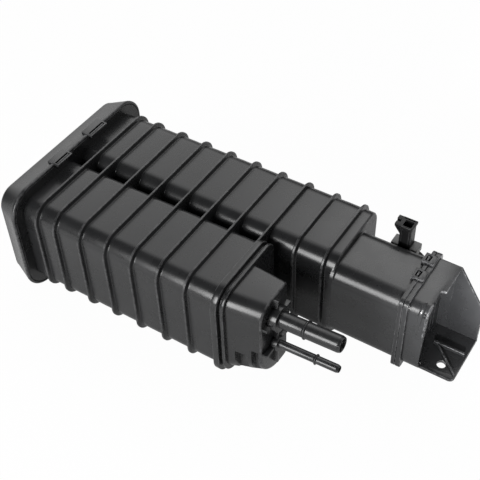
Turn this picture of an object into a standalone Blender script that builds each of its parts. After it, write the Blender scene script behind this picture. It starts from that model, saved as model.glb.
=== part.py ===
"""Vapour canister of a fuel system: two ribbed carbon chambers side by side, moulded in one body.

The body is open at its ends. An end cover with two snap loops closes the far end of both chambers. A port
cover with two hose stubs closes the front chamber. A vent box behind the rear chamber ends in a snapped-on
vent cap with the mounting foot, and an electric vent valve plugs into its back.

Directions: X runs along the canister from the end cover to the foot, Y from front to back, Z up.
The sizes below are in the canister's own axes: x = 0 at the end cover's edge, y = 0 at the front
crest of the ribs and z = 0 at their lowest crest. One empty carries all pieces to the middle of the base.
"""
import math

import bmesh
import bpy
from mathutils import Matrix, Vector

MM = 0.001

# General
GAP = 0.3 * MM                     # clearance between pieces that touch
WALL = 2.6 * MM                    # moulded wall
CORNER_STEPS = 4                   # straight steps in each rounded corner
STUB_SIDES = 24                    # sides of the hose stubs
RING_SIDES = 24                    # sides of the valve's turned pieces
HOLE_SIDES = 18                    # sides of small holes and bosses
CUT = 5 * MM                       # how far a cutter runs past the face that it opens
SINK = 1 * MM                      # how far joined forms run into each other
LEAST_CORNER = 0.5 * MM            # smallest corner radius of an offset outline

# Section over the ribs
OUT_WIDTH = 182 * MM
OUT_HEIGHT = 112 * MM
RIB_HEIGHT = 4 * MM
RIB_ROOT = 4.4 * MM                # thickness where a rib leaves the wall
RIB_CREST = 2.2 * MM               # thickness of its flat crest
WALL_CORNER = 16 * MM              # outer corner radius of the chambers
TROUGH = 8 * MM                    # gap between the chambers' walls
REAR_EXTRA = 6 * MM                # how much wider the rear chamber is than the front one
TROUGH_CORNER = 8 * MM             # front chamber's corners at the trough
TROUGH_STEPS = 3                   # straight steps in each corner at the trough
TROUGH_WEB = 3 * MM                # web that ties the chambers at half height
EDGE = 0.4 * MM                    # bevel on flange edges

# Stations along the body
FIRST_RIB = 18 * MM
FIRST_BAY = 22 * MM
RIB_PITCH = 30 * MM
SHARED_BAYS = 6                    # equal bays between the ribs that run round both chambers
REAR_ONLY_RIBS = 2                 # further ribs round the rear chamber alone
REAR_END_BAY = 12 * MM             # last rib to the rear chamber's end face
FRONT_FLANGE = 6.5 * MM            # welding flange at the front chamber's end
FRONT_FLANGE_MARGIN = 1 * MM       # how far it stands out past the ribs
FRONT_NECK = 1.5 * MM              # lip past that flange
END_FLANGE = 3 * MM                # flange inside the end cover's rim

# End cover
RIM_DEPTH = 27 * MM
RIM_MARGIN = 9.5 * MM              # how far the rim stands out past the ribs
RIM_MARGIN_LOW = 7 * MM            # the same, below them
RIM_CORNER = 28 * MM
RIM_ROUND = 1.6 * MM               # rounding of its edge over the body's flange
RIM_TAPER = 9.6 * MM               # how much narrower the cover is at its outer face
RIM_BEVEL = 3 * MM
RIM_SEAT = 5.5 * MM                # from its outside to the inner edge of its seat on the flange
COVER_PANEL = 2.6 * MM
COVER_RECESS = 4.5 * MM            # depth of the outer face inside the rim
COVER_LAND = 7 * MM                # width of the rim seen from its end
COVER_RIBS = 6
COVER_RIB = 2.4 * MM
LOOPS = ((67 * MM, 22 * MM), (120.5 * MM, 25 * MM))  # middle and width of each snap loop
LOOP_REACH = 5.4 * MM              # past the rim's edge, over the body
LOOP_DROP = 1.7 * MM               # its underside below the rim's top
LOOP_THICK = 2.4 * MM
LOOP_ROOT = 3.7 * MM               # how far it runs back over the rim
LOOP_BAR = 1.8 * MM
CATCH_HEIGHT = 1.9 * MM
CATCH_LENGTH = 2.2 * MM            # end catches, along the body
CATCH_FOOT = 5 * MM                # how far down the flange's face they reach
CATCH_SIDE = 1 * MM                # clearance of a catch beside its loop's bars

# Port cover
PORT_NECK = 1.3 * MM
PORT_FLANGE = 3 * MM
PORT_FLANGE_MARGIN = 3.5 * MM      # how far it stands out past the chamber's wall
PORT_FLANGE_LOW = 0.5 * MM         # the same, below it
NOSE_LENGTH = 34.4 * MM
NOSE_WIDTH = 52.5 * MM             # at its root
NOSE_DRAFT = 4.4 * MM              # front face, root to tip
NOSE_TOP_DRAFT = 1 * MM
NOSE_BACK_DRAFT = 2.5 * MM
NOSE_LIFT = 3 * MM                 # nose floor above the chamber's floor
NOSE_BACK_CORNER = 4 * MM
NOSE_TIP_CORNER = 36 * MM          # front corner of the nose's floor at the tip
NOSE_ROUND = 2 * MM                # rounding of the nose's end
GRID_SEAT = 1.5 * MM               # land that the port grid bears on
POCKETS = ((13 * MM, 43 * MM), (7 * MM, 52 * MM))  # length, and top above the ribs' lowest crest
POCKET_RIB = 3.4 * MM
POCKET_START = 8 * MM
POCKET_DEPTH = 11 * MM
PORT_Y = 30 * MM
PORT_RISE = math.radians(3.5)
PARTITION = 2.4 * MM

# Hose stubs: height at the nose face, outer and bore radius, bead and collar, reach past the nose face
TANK_Z = 83.9 * MM
TANK_BORE = 6 * MM
TANK_RADIUS = 7.91 * MM
TANK_REACH = 68.8 * MM
TANK_BEAD = 33.5 * MM
TANK_BEAD_RADIUS = 9.1 * MM
TANK_COLLAR = 12.5 * MM
TANK_COLLAR_LENGTH = 9 * MM
PURGE_Z = 48.6 * MM
PURGE_RADIUS = 3.95 * MM
PURGE_BORE = 2.6 * MM
PURGE_REACH = 67.6 * MM
PURGE_BEAD = 44 * MM
PURGE_BEAD_RADIUS = 5.2 * MM
PURGE_COLLAR = 7.5 * MM
PURGE_COLLAR_LENGTH = 7 * MM
BEAD_WIDTH = 2.6 * MM
STUB_CHAMFER = 0.8 * MM
FACE_RIB = 2.6 * MM
FACE_RIB_HEIGHT = 5 * MM
FACE_RIB_LIFT = 14 * MM            # lower end of the upright rib above the nose's floor

# Vent box
VENT_LENGTH = 66 * MM              # rear chamber's end face to the flange
VENT_FRONT = 4 * MM                # how far its front stands before the rear chamber's wall
VENT_BACK = 21.5 * MM              # how far its back stands before the rear chamber's back
VENT_DROP = 7 * MM                 # its top below the rear chamber's top
VENT_LIFT = 9.3 * MM               # its floor above the rear chamber's floor
VENT_FLANGE = 4 * MM
VENT_FLANGE_MARGIN = 3 * MM
VENT_FLANGE_LOW = 0.5 * MM
VENT_FLANGE_CORNER = 6 * MM
VENT_WINDOW = (40 * MM, 56 * MM)   # opening to the rear chamber, along y and z
WINDOW_CORNER = 3 * MM

# Vent cap and mounting foot
CAP_FLANGE = 4.7 * MM
CAP_REACH = 23.2 * MM              # joint to the upper end of the front wall
CAP_LEAN = 3 * MM                  # how much shorter the hood is at its floor
CAP_TAB = 3 * MM                   # how much further the roof reaches at the back
CAP_TAB_WIDTH = 35 * MM
CAP_NOTCH = 2 * MM                 # how much shorter the roof is between that tab and the front wall
CAP_BACK_STEP = 3 * MM             # back wall before the vent box's back wall
CAP_BACK_CORNER = 2 * MM
CAP_CORNER = 11.2 * MM             # the hood's upper front corner
CAP_PANEL_AT = 9.2 * MM            # joint to the slotted panel
CAP_PANEL = 2.5 * MM
CAP_SLOTS = 6
CAP_SLOT = 3.6 * MM
CAP_SLOT_MARGIN = 9 * MM
FOOT_REACH = 53.2 * MM             # joint to the foot's end
FOOT_THICK = 3.2 * MM
FOOT_FRONT = 8 * MM                # foot's front edge behind the cap's front wall
FOOT_CORNER = 5 * MM
FOOT_HOLE = 8.6 * MM
FOOT_HOLE_FROM_END = 16.7 * MM
FOOT_HOLE_FROM_EDGE = 12.5 * MM
FOOT_RIDGE_FROM_EDGE = 31 * MM
FOOT_RIDGE = 2.6 * MM
FOOT_RIDGE_HEIGHT = 3.5 * MM
FOOT_STAY = 1.6 * MM               # thin rib that runs aslant past the hole to the foot's end
FOOT_STAY_HEIGHT = 2.2 * MM
FOOT_STAY_CLEAR = 1.2 * MM         # from the hole's edge to the middle of that rib
FOOT_STAY_ANGLE = math.radians(42.6)
GUSSET_DROP = 42.6 * MM            # where the gusset's sloping edge would meet the foot's end
GUSSET_ROUND = 29 * MM
GUSSET_STEPS = 5
SNAP_CENTRES = (33.5 * MM, 55 * MM)  # cap's snap loops, from the vent box's front
SNAP_WIDTH = 12 * MM
SNAP_REACH = 7.5 * MM
SNAP_THICK = 2.2 * MM
SNAP_BAR = 2 * MM

# Beds, pads, grids and springs
BED_START = 28.3 * MM
PAD = 5 * MM
PLATE = 4 * MM
GRID = 3.2 * MM
GRID_BAR = 2.4 * MM
GRID_COLUMNS = 4
GRID_ROWS = 5
GRID_FRAME = 6 * MM
BOSS_LENGTH = 3 * MM               # bosses that centre the springs
SPRING_RADIUS = 10 * MM
SPRING_WIRE = 0.9 * MM
SPRING_TURNS = 4
SPRING_OFFSET = 23 * MM            # of each pair, above and below the middle
SPRING_SIDES = 5
SPRING_STEPS = 10

# Vent valve, its axis along y
VALVE_FROM_VENT = 37 * MM          # rear chamber's end face to the valve's axis
VALVE_Z = 52 * MM
VALVE_CUP = 19 * MM
VALVE_CUP_BORE = 16 * MM
VALVE_FLANGE = 23 * MM
VALVE_FLANGE_THICK = 2.8 * MM
VALVE_LENGTH = 24 * MM
VALVE_COVER = 2.4 * MM
NECK_RADIUS = 15 * MM
NECK_BORE = 11 * MM
NECK_LENGTH = 11 * MM              # from the flange into the vent box
COLLAR_WALL = 3 * MM
COLLAR_DEPTH = 7 * MM
RING_SECTION = 1.2 * MM
RING_GROOVE = 3.2 * MM
RING_FROM_FLANGE = 5 * MM          # groove's middle before the flange
RING_STEPS = 6                     # sides of the ring's section
STEM_RADIUS = 2 * MM
STROKE = 2.5 * MM
SEAL_RADIUS = 9.5 * MM
SEAL_THICK = 2.5 * MM
SEAL_STANDOFF = 2.5 * MM           # seal's back face beyond the neck's end
STEM_HEAD = 1 * MM                 # discs on the stem that hold the seal
HEAD_RADIUS = 4 * MM
ARMATURE_RADIUS = 5.8 * MM
ARMATURE_LENGTH = 7.5 * MM
POLE_RADIUS = 5.9 * MM
POLE_POCKET = 4.4 * MM
POLE_POCKET_DEPTH = 4.5 * MM
BOBBIN_BORE = 6.3 * MM
BOBBIN_CORE = 7.6 * MM
BOBBIN_FLANGE = 15.6 * MM
BOBBIN_CHEEK = 1.6 * MM
WINDING_RADIUS = 14.2 * MM
RETURN_RADIUS = 3.4 * MM
RETURN_WIRE = 0.35 * MM
RETURN_TURNS = 4

# Connector on the valve
PLUG_WIDTH = 11.6 * MM
PLUG_DEPTH = 11.3 * MM
PLUG_TOP = 116.5 * MM
PLUG_RIM = 2.2 * MM                # how far the rim stands out at the latch and at its back
PLUG_RIM_HEIGHT = 3.2 * MM
PLUG_WALL = 1.5 * MM
PLUG_SOCKET = 15 * MM
PLUG_FROM_FLANGE = 6.4 * MM        # socket's middle behind the vent box's back wall
SHOULDER = (26.3 * MM, 13 * MM, 8 * MM)
SHOULDER_Z = 84 * MM
LATCH = (6 * MM, 4.4 * MM, 12.5 * MM)
LATCH_TIP = 3 * MM                 # height of the latch's outer face
PIN_SPACING = 3.6 * MM
PIN = (1.4 * MM, 0.7 * MM)
PIN_LENGTH = 10 * MM
PIN_SINK = 3 * MM                  # how deep the pins stand in the socket's floor

# Duct that leads from the valve's seat to the rear chamber
DUCT_PLATE = 2.4 * MM
DUCT_LAP = 3 * MM                  # how far its plate laps over the window's edge
DUCT_WALL = 2 * MM
DUCT_DEPTH = 12 * MM
SEAT_RADIUS = 8 * MM
SEAT_BORE = 6 * MM
SEAT_HEIGHT = 4 * MM


# Places that follow from the sizes above
front_width = (OUT_WIDTH - 2 * RIB_HEIGHT - TROUGH - REAR_EXTRA) / 2
rear_width = front_width + REAR_EXTRA
rear_front = OUT_WIDTH - RIB_HEIGHT - rear_width
rib_places = [FIRST_RIB] + [FIRST_RIB + FIRST_BAY + RIB_PITCH * i for i in range(SHARED_BAYS)]
flange_rib = rib_places[-1] + RIB_PITCH
rear_rib_places = [flange_rib + RIB_PITCH * (i + 1) for i in range(REAR_ONLY_RIBS)]
front_flange_start = flange_rib - FRONT_FLANGE * 0.15
front_end = front_flange_start + FRONT_FLANGE + FRONT_NECK
rear_end = rear_rib_places[-1] + REAR_END_BAY
vent_end = rear_end + VENT_LENGTH + VENT_FLANGE
cap_start = vent_end + GAP
foot_end = cap_start + FOOT_REACH
panel_start = cap_start + CAP_PANEL_AT
port_start = front_end + GAP
port_panel = port_start + PORT_NECK + PORT_FLANGE - WALL
nose_end = port_panel + WALL + NOSE_LENGTH
PORT_AXIS = (math.cos(PORT_RISE), 0, math.sin(PORT_RISE))
filter_place = BED_START - GAP - PAD
plate_place = filter_place - GAP - PLATE
spring_start = -RIM_DEPTH + COVER_RECESS + COVER_PANEL + GAP


# Places along the valve's axis, from its flange's front face toward the back
cover_place = VALVE_LENGTH - VALVE_COVER
armature_start = cover_place - GAP - ARMATURE_LENGTH
pole_start = VALVE_FLANGE_THICK + GAP
pole_end = armature_start - GAP - STROKE
seal_back = -NECK_LENGTH - SEAL_STANDOFF
seal_front = seal_back - SEAL_THICK
ring_middle = -RING_FROM_FLANGE
ring_radius = NECK_RADIUS - RING_SECTION
plug_y = PLUG_FROM_FLANGE - GAP


def arc(y, z, radius, start, steps):
    """Points of a quarter circle about (y, z), counter-clockwise from the start angle in degrees."""
    angles = [math.radians(start + 90 * step / steps) for step in range(steps + 1)]
    return [(y + radius * math.cos(angle), z + radius * math.sin(angle)) for angle in angles]


class Section:
    """A rounded rectangle across the canister, from which walls, cavities and inner pieces are offset."""

    def __init__(self, y0, y1, z0, z1, corners):
        self.y0, self.y1, self.z0, self.z1 = y0, y1, z0, z1
        self.corners = corners  # radii at front-bottom, back-bottom, back-top and front-top

    def grow(self, distance):
        corners = [max(radius + distance, LEAST_CORNER) for radius in self.corners]
        low, high = (self.y0 - distance, self.z0 - distance), (self.y1 + distance, self.z1 + distance)
        return Section(low[0], high[0], low[1], high[1], corners)

    def points(self):
        front_low, back_low, back_high, front_high = self.corners
        return (
            arc(self.y0 + front_low, self.z0 + front_low, front_low, 180, CORNER_STEPS)
            + arc(self.y1 - back_low, self.z0 + back_low, back_low, 270, CORNER_STEPS)
            + arc(self.y1 - back_high, self.z1 - back_high, back_high, 0, CORNER_STEPS)
            + arc(self.y0 + front_high, self.z1 - front_high, front_high, 90, CORNER_STEPS)
        )

    @property
    def middle(self):
        return (self.y0 + self.y1) / 2, (self.z0 + self.z1) / 2


class TwinSection:
    """Outline round both chambers: their walls with the trough between, or a rib that fills the trough."""

    def __init__(self, offset, filled, low_offset=None):
        self.offset = offset  # distance outside the chambers' walls
        self.low_offset = offset if low_offset is None else low_offset
        self.filled = filled

    def points(self):
        radius = WALL_CORNER + self.offset
        low, high = FRONT.z0 - self.low_offset, FRONT.z1 + self.offset
        left, right = FRONT.y0 - self.offset, REAR.y1 + self.offset
        return (
            arc(left + radius, low + radius, radius, 180, CORNER_STEPS)
            + self.trough(low, 1)
            + arc(right - radius, low + radius, radius, 270, CORNER_STEPS)
            + arc(right - radius, high - radius, radius, 0, CORNER_STEPS)
            + self.trough(high, -1)[::-1]
            + arc(left + radius, high - radius, radius, 90, CORNER_STEPS)
        )

    def trough(self, level, inward):
        """Points from the front chamber's corner over the web to the rear chamber's corner."""
        web = (FRONT.z0 + FRONT.z1) / 2 - inward * TROUGH_WEB / 2
        front_y, rear_y = FRONT.y1 - TROUGH_CORNER, REAR.y0 + WALL_CORNER
        quarter = arc(0, 0, 1, 0, TROUGH_STEPS)
        small, large = TROUGH_CORNER, WALL_CORNER
        front = [(front_y + small * s, level + inward * small * (1 - c)) for c, s in quarter]
        rear = [(rear_y - large * s, level + inward * large * (1 - c)) for c, s in quarter]
        outline = front + [(FRONT.y1, web), (REAR.y0, web)] + rear[::-1]
        if not self.filled:
            return outline
        last = len(outline) - 1
        return [(front_y + (rear_y - front_y) * i / last, level) for i in range(last + 1)]


wall_z0 = RIB_HEIGHT
wall_z1 = OUT_HEIGHT - RIB_HEIGHT
rib_corner = WALL_CORNER + RIB_HEIGHT
FRONT = Section(
    RIB_HEIGHT, RIB_HEIGHT + front_width, wall_z0, wall_z1,
    [WALL_CORNER, TROUGH_CORNER, TROUGH_CORNER, WALL_CORNER],
)
REAR = Section(rear_front, rear_front + rear_width, wall_z0, wall_z1, [WALL_CORNER] * 4)
vent_y0 = rear_front - VENT_FRONT
VENT = Section(
    vent_y0, REAR.y1 - VENT_BACK, wall_z0 + VENT_LIFT, wall_z1 - VENT_DROP, [WALL_CORNER] * 4,
)
VENT_RING = Section(
    VENT.y0 - VENT_FLANGE_MARGIN, VENT.y1 + VENT_FLANGE_MARGIN,
    VENT.z0 - VENT_FLANGE_LOW, VENT.z1 + VENT_FLANGE_MARGIN, [VENT_FLANGE_CORNER] * 4,
)
cap_back = VENT.y1 - CAP_BACK_STEP
CAP = Section(
    VENT.y0, cap_back, VENT.z0, VENT.z1, [WALL_CORNER, CAP_BACK_CORNER, CAP_BACK_CORNER, CAP_CORNER],
)
RIM = Section(
    -RIM_MARGIN, OUT_WIDTH + RIM_MARGIN, -RIM_MARGIN_LOW, OUT_HEIGHT + RIM_MARGIN, [RIM_CORNER] * 4,
)

valve_x = rear_end + VALVE_FROM_VENT
valve_y = VENT.y1 + GAP
seat_y = valve_y + seal_front - STROKE - GAP
window_y, window_z = VENT.middle
WINDOW = Section(
    window_y - VENT_WINDOW[0] / 2, window_y + VENT_WINDOW[0] / 2,
    window_z - VENT_WINDOW[1] / 2, window_z + VENT_WINDOW[1] / 2, [WINDOW_CORNER] * 4,
)
foot_hole = Vector((foot_end - FOOT_HOLE_FROM_END, CAP.y0 + FOOT_FRONT + FOOT_HOLE_FROM_EDGE))
frame_place = Vector((-(foot_end - RIM_DEPTH) / 2, -OUT_WIDTH / 2, RIM_MARGIN_LOW))


def clear_scene():
    """Removes every object that the file opens with."""
    for thing in list(bpy.data.objects):
        bpy.data.objects.remove(thing)


def plastic(name, colour, roughness, metallic=0.0):
    """Makes a plain material for one kind of piece."""
    material = bpy.data.materials.new(name)
    material.use_nodes = True
    shader = material.node_tree.nodes["Principled BSDF"]
    shader.inputs["Base Color"].default_value = (*colour, 1)
    shader.inputs["Roughness"].default_value = roughness
    shader.inputs["Metallic"].default_value = metallic
    return material


def add_object(name, mesh):
    """Links a mesh into the scene as one object."""
    thing = bpy.data.objects.new(name, mesh)
    bpy.context.scene.collection.objects.link(thing)
    return thing


def from_bmesh(name, shape):
    """Closes a bmesh into an object with its faces outward."""
    bmesh.ops.recalc_face_normals(shape, faces=shape.faces)
    mesh = bpy.data.meshes.new(name)
    shape.to_mesh(mesh)
    shape.free()
    return add_object(name, mesh)


def loft(name, rings):
    """Skins a list of rings, each a list of 3-D points, and closes both ends with a flat face."""
    shape = bmesh.new()
    loops = [[shape.verts.new(point) for point in ring] for ring in rings]
    for before, after in zip(loops, loops[1:]):
        for i in range(len(before)):
            j = (i + 1) % len(before)
            shape.faces.new((before[i], before[j], after[j], after[i]))
    shape.faces.new(loops[0])
    shape.faces.new(loops[-1])
    return from_bmesh(name, shape)


def prism(name, stations):
    """Skins sections placed along x: each station is (x, section)."""
    return loft(name, [[(x, y, z) for y, z in section.points()] for x, section in stations])


def box(name, low, high):
    """Makes a block between two corners."""
    rings = []
    for x in (low[0], high[0]):
        rings.append([
            (x, low[1], low[2]), (x, high[1], low[2]), (x, high[1], high[2]), (x, low[1], high[2]),
        ])
    return loft(name, rings)


def boxes(name, blocks):
    """Makes several separate blocks as one cutter."""
    shape = bmesh.new()
    for low, high in blocks:
        size = Vector(high) - Vector(low)
        middle = (Vector(high) + Vector(low)) / 2
        matrix = Matrix.Translation(middle) @ Matrix.Diagonal((*size, 1))
        bmesh.ops.create_cube(shape, size=1, matrix=matrix)
    return from_bmesh(name, shape)


def extrude_y(name, outline, y0, y1):
    """Extrudes an outline in x and z along y."""
    return loft(name, [[(x, y, z) for x, z in outline] for y in (y0, y1)])


def revolve(name, profile, place, axis, segments):
    """Turns a closed profile of (distance along the axis, radius) points; points on the axis are shared."""
    shape = bmesh.new()
    turn = Vector((0, 0, 1)).rotation_difference(Vector(axis)).to_matrix().to_4x4()
    to_place = Matrix.Translation(place) @ turn
    rows = []
    for along, radius in profile:
        if radius < 1e-9:
            centre = shape.verts.new(to_place @ Vector((0, 0, along)))
            rows.append([centre] * segments)
            continue
        row = []
        for step in range(segments):
            angle = 2 * math.pi * step / segments
            point = Vector((radius * math.cos(angle), radius * math.sin(angle), along))
            row.append(shape.verts.new(to_place @ point))
        rows.append(row)
    for before, after in zip(rows, rows[1:] + rows[:1]):
        if before[0] is before[1] and after[0] is after[1]:
            continue
        for i in range(segments):
            j = (i + 1) % segments
            corners = []
            for corner in (before[i], before[j], after[j], after[i]):
                if corner not in corners:
                    corners.append(corner)
            shape.faces.new(corners)
    return from_bmesh(name, shape)


def coil(name, place, axis, length, radius, wire, turns, steps=SPRING_STEPS, sides=SPRING_SIDES):
    """Winds a round wire into a helix between two flat ends, as one closed tube."""
    turn = Vector((0, 0, 1)).rotation_difference(Vector(axis)).to_matrix().to_4x4()
    to_place = Matrix.Translation(place) @ turn
    count = turns * steps
    rings = []
    for i in range(count + 1):
        angle = 2 * math.pi * i / steps
        along = wire + (length - 2 * wire) * i / count
        out = Vector((math.cos(angle), math.sin(angle), 0))
        ring = []
        for side in range(sides):
            tilt = 2 * math.pi * side / sides
            point = out * (radius + wire * math.cos(tilt)) + Vector((0, 0, along + wire * math.sin(tilt)))
            ring.append(to_place @ point)
        rings.append(ring)
    return loft(name, rings)


def combine(base, operation, tools):
    """Unites tools with the base or cuts them from it, and removes them."""
    for tool in tools:
        step = base.modifiers.new(operation.title(), "BOOLEAN")
        step.operation = operation
        step.solver = "EXACT"
        step.object = tool
    graph = bpy.context.evaluated_depsgraph_get()
    mesh = bpy.data.meshes.new_from_object(base.evaluated_get(graph))
    base.modifiers.clear()
    base.data = mesh
    for tool in tools:
        bpy.data.objects.remove(tool)
    return base


def unite(base, *tools):
    return combine(base, "UNION", tools)


def cut(base, *tools):
    return combine(base, "DIFFERENCE", tools)


def finish(thing, material, parent=None, smooth=35):
    """Gives a piece its material and shading and hangs it on the canister's or the valve's axes."""
    thing.data.name = thing.name
    thing.data.materials.clear()
    thing.data.materials.append(material)
    thing.data.shade_smooth()
    thing.data.set_sharp_from_angle(angle=math.radians(smooth))
    thing.parent = parent or axes
    return thing


def rib(place, wall, crest):
    """Stations of one rib with sloping flanks, for a loft along x."""
    return [
        (place - RIB_ROOT / 2, wall),
        (place - RIB_CREST / 2, crest),
        (place + RIB_CREST / 2, crest),
        (place + RIB_ROOT / 2, wall),
    ]


def flange(x0, x1, section):
    """Stations of a flat flange with bevelled edges."""
    inner = section.grow(-EDGE)
    return [(x0, inner), (x0 + EDGE, section), (x1 - EDGE, section), (x1, inner)]


def make_body():
    """Moulds both chambers, the ribs that tie them, the flanges and the vent box in one piece."""
    walls = TwinSection(0, False)
    crest = TwinSection(RIB_HEIGHT, True)
    margin, low = RIB_HEIGHT + RIM_MARGIN - WALL - GAP, RIB_HEIGHT + RIM_MARGIN_LOW - WALL - GAP
    brim = TwinSection(margin, True, low)
    bevel = TwinSection(margin - EDGE, True, low - EDGE)
    stations = [(-END_FLANGE, bevel), (EDGE - END_FLANGE, brim), (-EDGE, brim), (0, bevel), (EDGE, walls)]
    for place in rib_places:
        stations += rib(place, walls, crest)
    stations += rib(flange_rib, walls, crest)[:3]
    body = prism("canister_body", stations)
    rear_rib = Section(REAR.y0 - RIB_HEIGHT, OUT_WIDTH, 0, OUT_HEIGHT, [rib_corner] * 4)
    rear_stations = [(flange_rib, REAR)]
    for place in rear_rib_places:
        rear_stations += rib(place, REAR, rear_rib)
    rear = prism("rear", rear_stations + [(rear_end, REAR)])
    neck = prism("neck", [(flange_rib, FRONT), (front_end, FRONT)])
    front_brim = FRONT.grow(RIB_HEIGHT + FRONT_FLANGE_MARGIN)
    front_brim.y1 = FRONT.y1 + PORT_FLANGE_MARGIN
    brim_plate = prism("brim", flange(front_flange_start, front_flange_start + FRONT_FLANGE, front_brim))
    vent = prism("vent", [(rear_end - WALL, VENT), (vent_end - VENT_FLANGE / 2, VENT)])
    vent_brim = prism("vent_brim", flange(vent_end - VENT_FLANGE, vent_end, VENT_RING))
    unite(body, rear, neck, brim_plate, vent, vent_brim, *end_catches(), *cap_catches())
    cavities = [
        prism("front_cavity", [(-CUT, FRONT.grow(-WALL)), (front_end + CUT, FRONT.grow(-WALL))]),
        prism("rear_cavity", [(-CUT, REAR.grow(-WALL)), (rear_end - WALL, REAR.grow(-WALL))]),
        vent_cavity(),
        vent_window(),
        valve_bore(),
    ]
    return cut(body, *cavities)


def valve_collar():
    """Short tube inside the vent box's back wall that guides the valve's neck."""
    inner = VENT.y1 - WALL - COLLAR_DEPTH
    outer = NECK_RADIUS + GAP + COLLAR_WALL
    profile = [(0, 0), (0, outer), (VENT.y1 - 0.5 * WALL - inner, outer), (VENT.y1 - 0.5 * WALL - inner, 0)]
    return revolve("collar", profile, (valve_x, inner, VALVE_Z), (0, 1, 0), 28)


def valve_bore():
    """Cutter for the neck's hole, through the collar and the back wall."""
    start = VENT.y1 - WALL - COLLAR_DEPTH - CUT
    bore = NECK_RADIUS + GAP
    profile = [(0, 0), (0, bore), (VENT.y1 + CUT - start, bore), (VENT.y1 + CUT - start, 0)]
    return revolve("bore", profile, (valve_x, start, VALVE_Z), (0, 1, 0), 28)


def vent_cavity():
    """Cutter for the vent box's inside, which leaves the valve's collar standing."""
    inside = VENT.grow(-WALL)
    cavity = prism("vent_cavity", [(rear_end, inside), (vent_end + CUT, inside)])
    return cut(cavity, valve_collar())


def vent_window():
    """Cutter for the opening between the rear chamber and the vent box."""
    return prism("window", [(rear_end - CUT, WINDOW), (rear_end + WALL, WINDOW)])


def end_catches():
    """Teeth on the end flange's face that stand up in the cover's loops, with a slope for the bar."""
    top = RIM.z1 - WALL - GAP
    tip, foot = RIM.z1 - LOOP_DROP + CATCH_HEIGHT, top - CATCH_FOOT
    outline = [
        (-SINK, foot), (-SINK, top - EDGE), (GAP, top - EDGE), (GAP, top), (CATCH_LENGTH * 0.6, tip),
        (GAP + CATCH_LENGTH, tip), (GAP + CATCH_LENGTH, top), (EDGE, foot),
    ]
    catches = []
    for y, width in LOOPS:
        half = width / 2 - LOOP_BAR - CATCH_SIDE
        catches.append(extrude_y("catch", outline, y - half, y + half))
    return catches


def cap_catches():
    """Wedges on the vent flange that the cap's loops snap over, each with a slope for the loop's bar."""
    top = VENT_RING.z1
    half = SNAP_WIDTH / 2 - SNAP_BAR - CATCH_SIDE
    x0, x1 = vent_end - VENT_FLANGE + EDGE, vent_end - EDGE
    crest = x0 + (x1 - x0) * 0.4
    outline = [(x0, top - SINK), (x0, top + CATCH_HEIGHT), (crest, top + CATCH_HEIGHT), (x1, top - SINK)]
    return [extrude_y("catch", outline, VENT.y0 + y - half, VENT.y0 + y + half) for y in SNAP_CENTRES]


def snap_loop(centre, width, x0, x1, z0, thick, bar, slot):
    """Makes a flat loop: a plate from x0 to x1, with a slot for its catch between two more places."""
    plate = box("loop", (x0, centre - width / 2, z0), (x1, centre + width / 2, z0 + thick))
    half = width / 2 - bar
    hole = box("slot", (slot[0], centre - half, z0 - CUT), (slot[1], centre + half, z0 + CUT))
    return cut(plate, hole)


def make_end_cover():
    """Moulds the end cover: tapered rim, recessed ribbed face, plenum inside and two snap loops."""
    start, seat_place = -RIM_DEPTH, -END_FLANGE - GAP
    face = RIM.grow(-RIM_TAPER)
    cover = prism("end_cover", [
        (start, face.grow(-RIM_BEVEL)),
        (start + RIM_BEVEL * 0.3, face.grow(-RIM_BEVEL * 0.3)),
        (start + RIM_BEVEL, face),
        (-RIM_ROUND, RIM),
        (-RIM_ROUND * 0.3, RIM.grow(-RIM_ROUND * 0.3)),
        (0, RIM.grow(-RIM_ROUND)),
    ])
    edge, seat, lip = face.grow(-COVER_LAND), RIM.grow(-RIM_SEAT), RIM.grow(-WALL)
    floor = start + COVER_RECESS
    cut(
        cover,
        prism("recess", [(start - CUT, edge), (floor, edge)]),
        prism("plenum", [(floor + COVER_PANEL, face.grow(-WALL)), (seat_place, seat), (CUT, seat)]),
        prism("nest", [(seat_place, lip), (CUT, lip)]),
    )
    additions = []
    inner = edge.grow(SINK)
    top, back, half = start + RIM_BEVEL / 2, floor + SINK, COVER_RIB / 2
    step = (inner.y1 - inner.y0) / (COVER_RIBS + 1)
    for i in range(COVER_RIBS):
        y = inner.y0 + step * (i + 1)
        additions.append(box("bar", (top, y - half, inner.z0), (back, y + half, inner.z1)))
    z = inner.middle[1]
    additions.append(box("bar", (top, inner.y0, z - half), (back, inner.y1, z + half)))
    slot = (-GAP, LOOP_REACH - LOOP_BAR)
    for y, width in LOOPS:
        span = (-LOOP_ROOT, LOOP_REACH, RIM.z1 - LOOP_DROP)
        additions.append(snap_loop(y, width, *span, LOOP_THICK, LOOP_BAR, slot))
    return unite(cover, *additions)


def hose_stub(place, radius, collar, collar_length, bead, bead_radius, reach):
    """Turns one hose stub with its collar, its bead and a chamfered tip."""
    half = BEAD_WIDTH / 2
    profile = [
        (-WALL / 2, 0),
        (-WALL / 2, collar),
        (collar_length - EDGE, collar),
        (collar_length, collar - EDGE),
        (collar_length, radius),
        (bead - half, radius),
        (bead, bead_radius),
        (bead + half / 2, bead_radius),
        (bead + half, radius),
        (reach - BEAD_WIDTH, radius),
        (reach, radius - STUB_CHAMFER),
        (reach, 0),
    ]
    return revolve("stub", profile, place, PORT_AXIS, STUB_SIDES)


def bore(place, radius, start, length, axis, segments):
    """Cutter for a round hole along an axis."""
    profile = [(start, 0), (start, radius), (start + length, radius), (start + length, 0)]
    return revolve("hole", profile, place, axis, segments)


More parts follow.
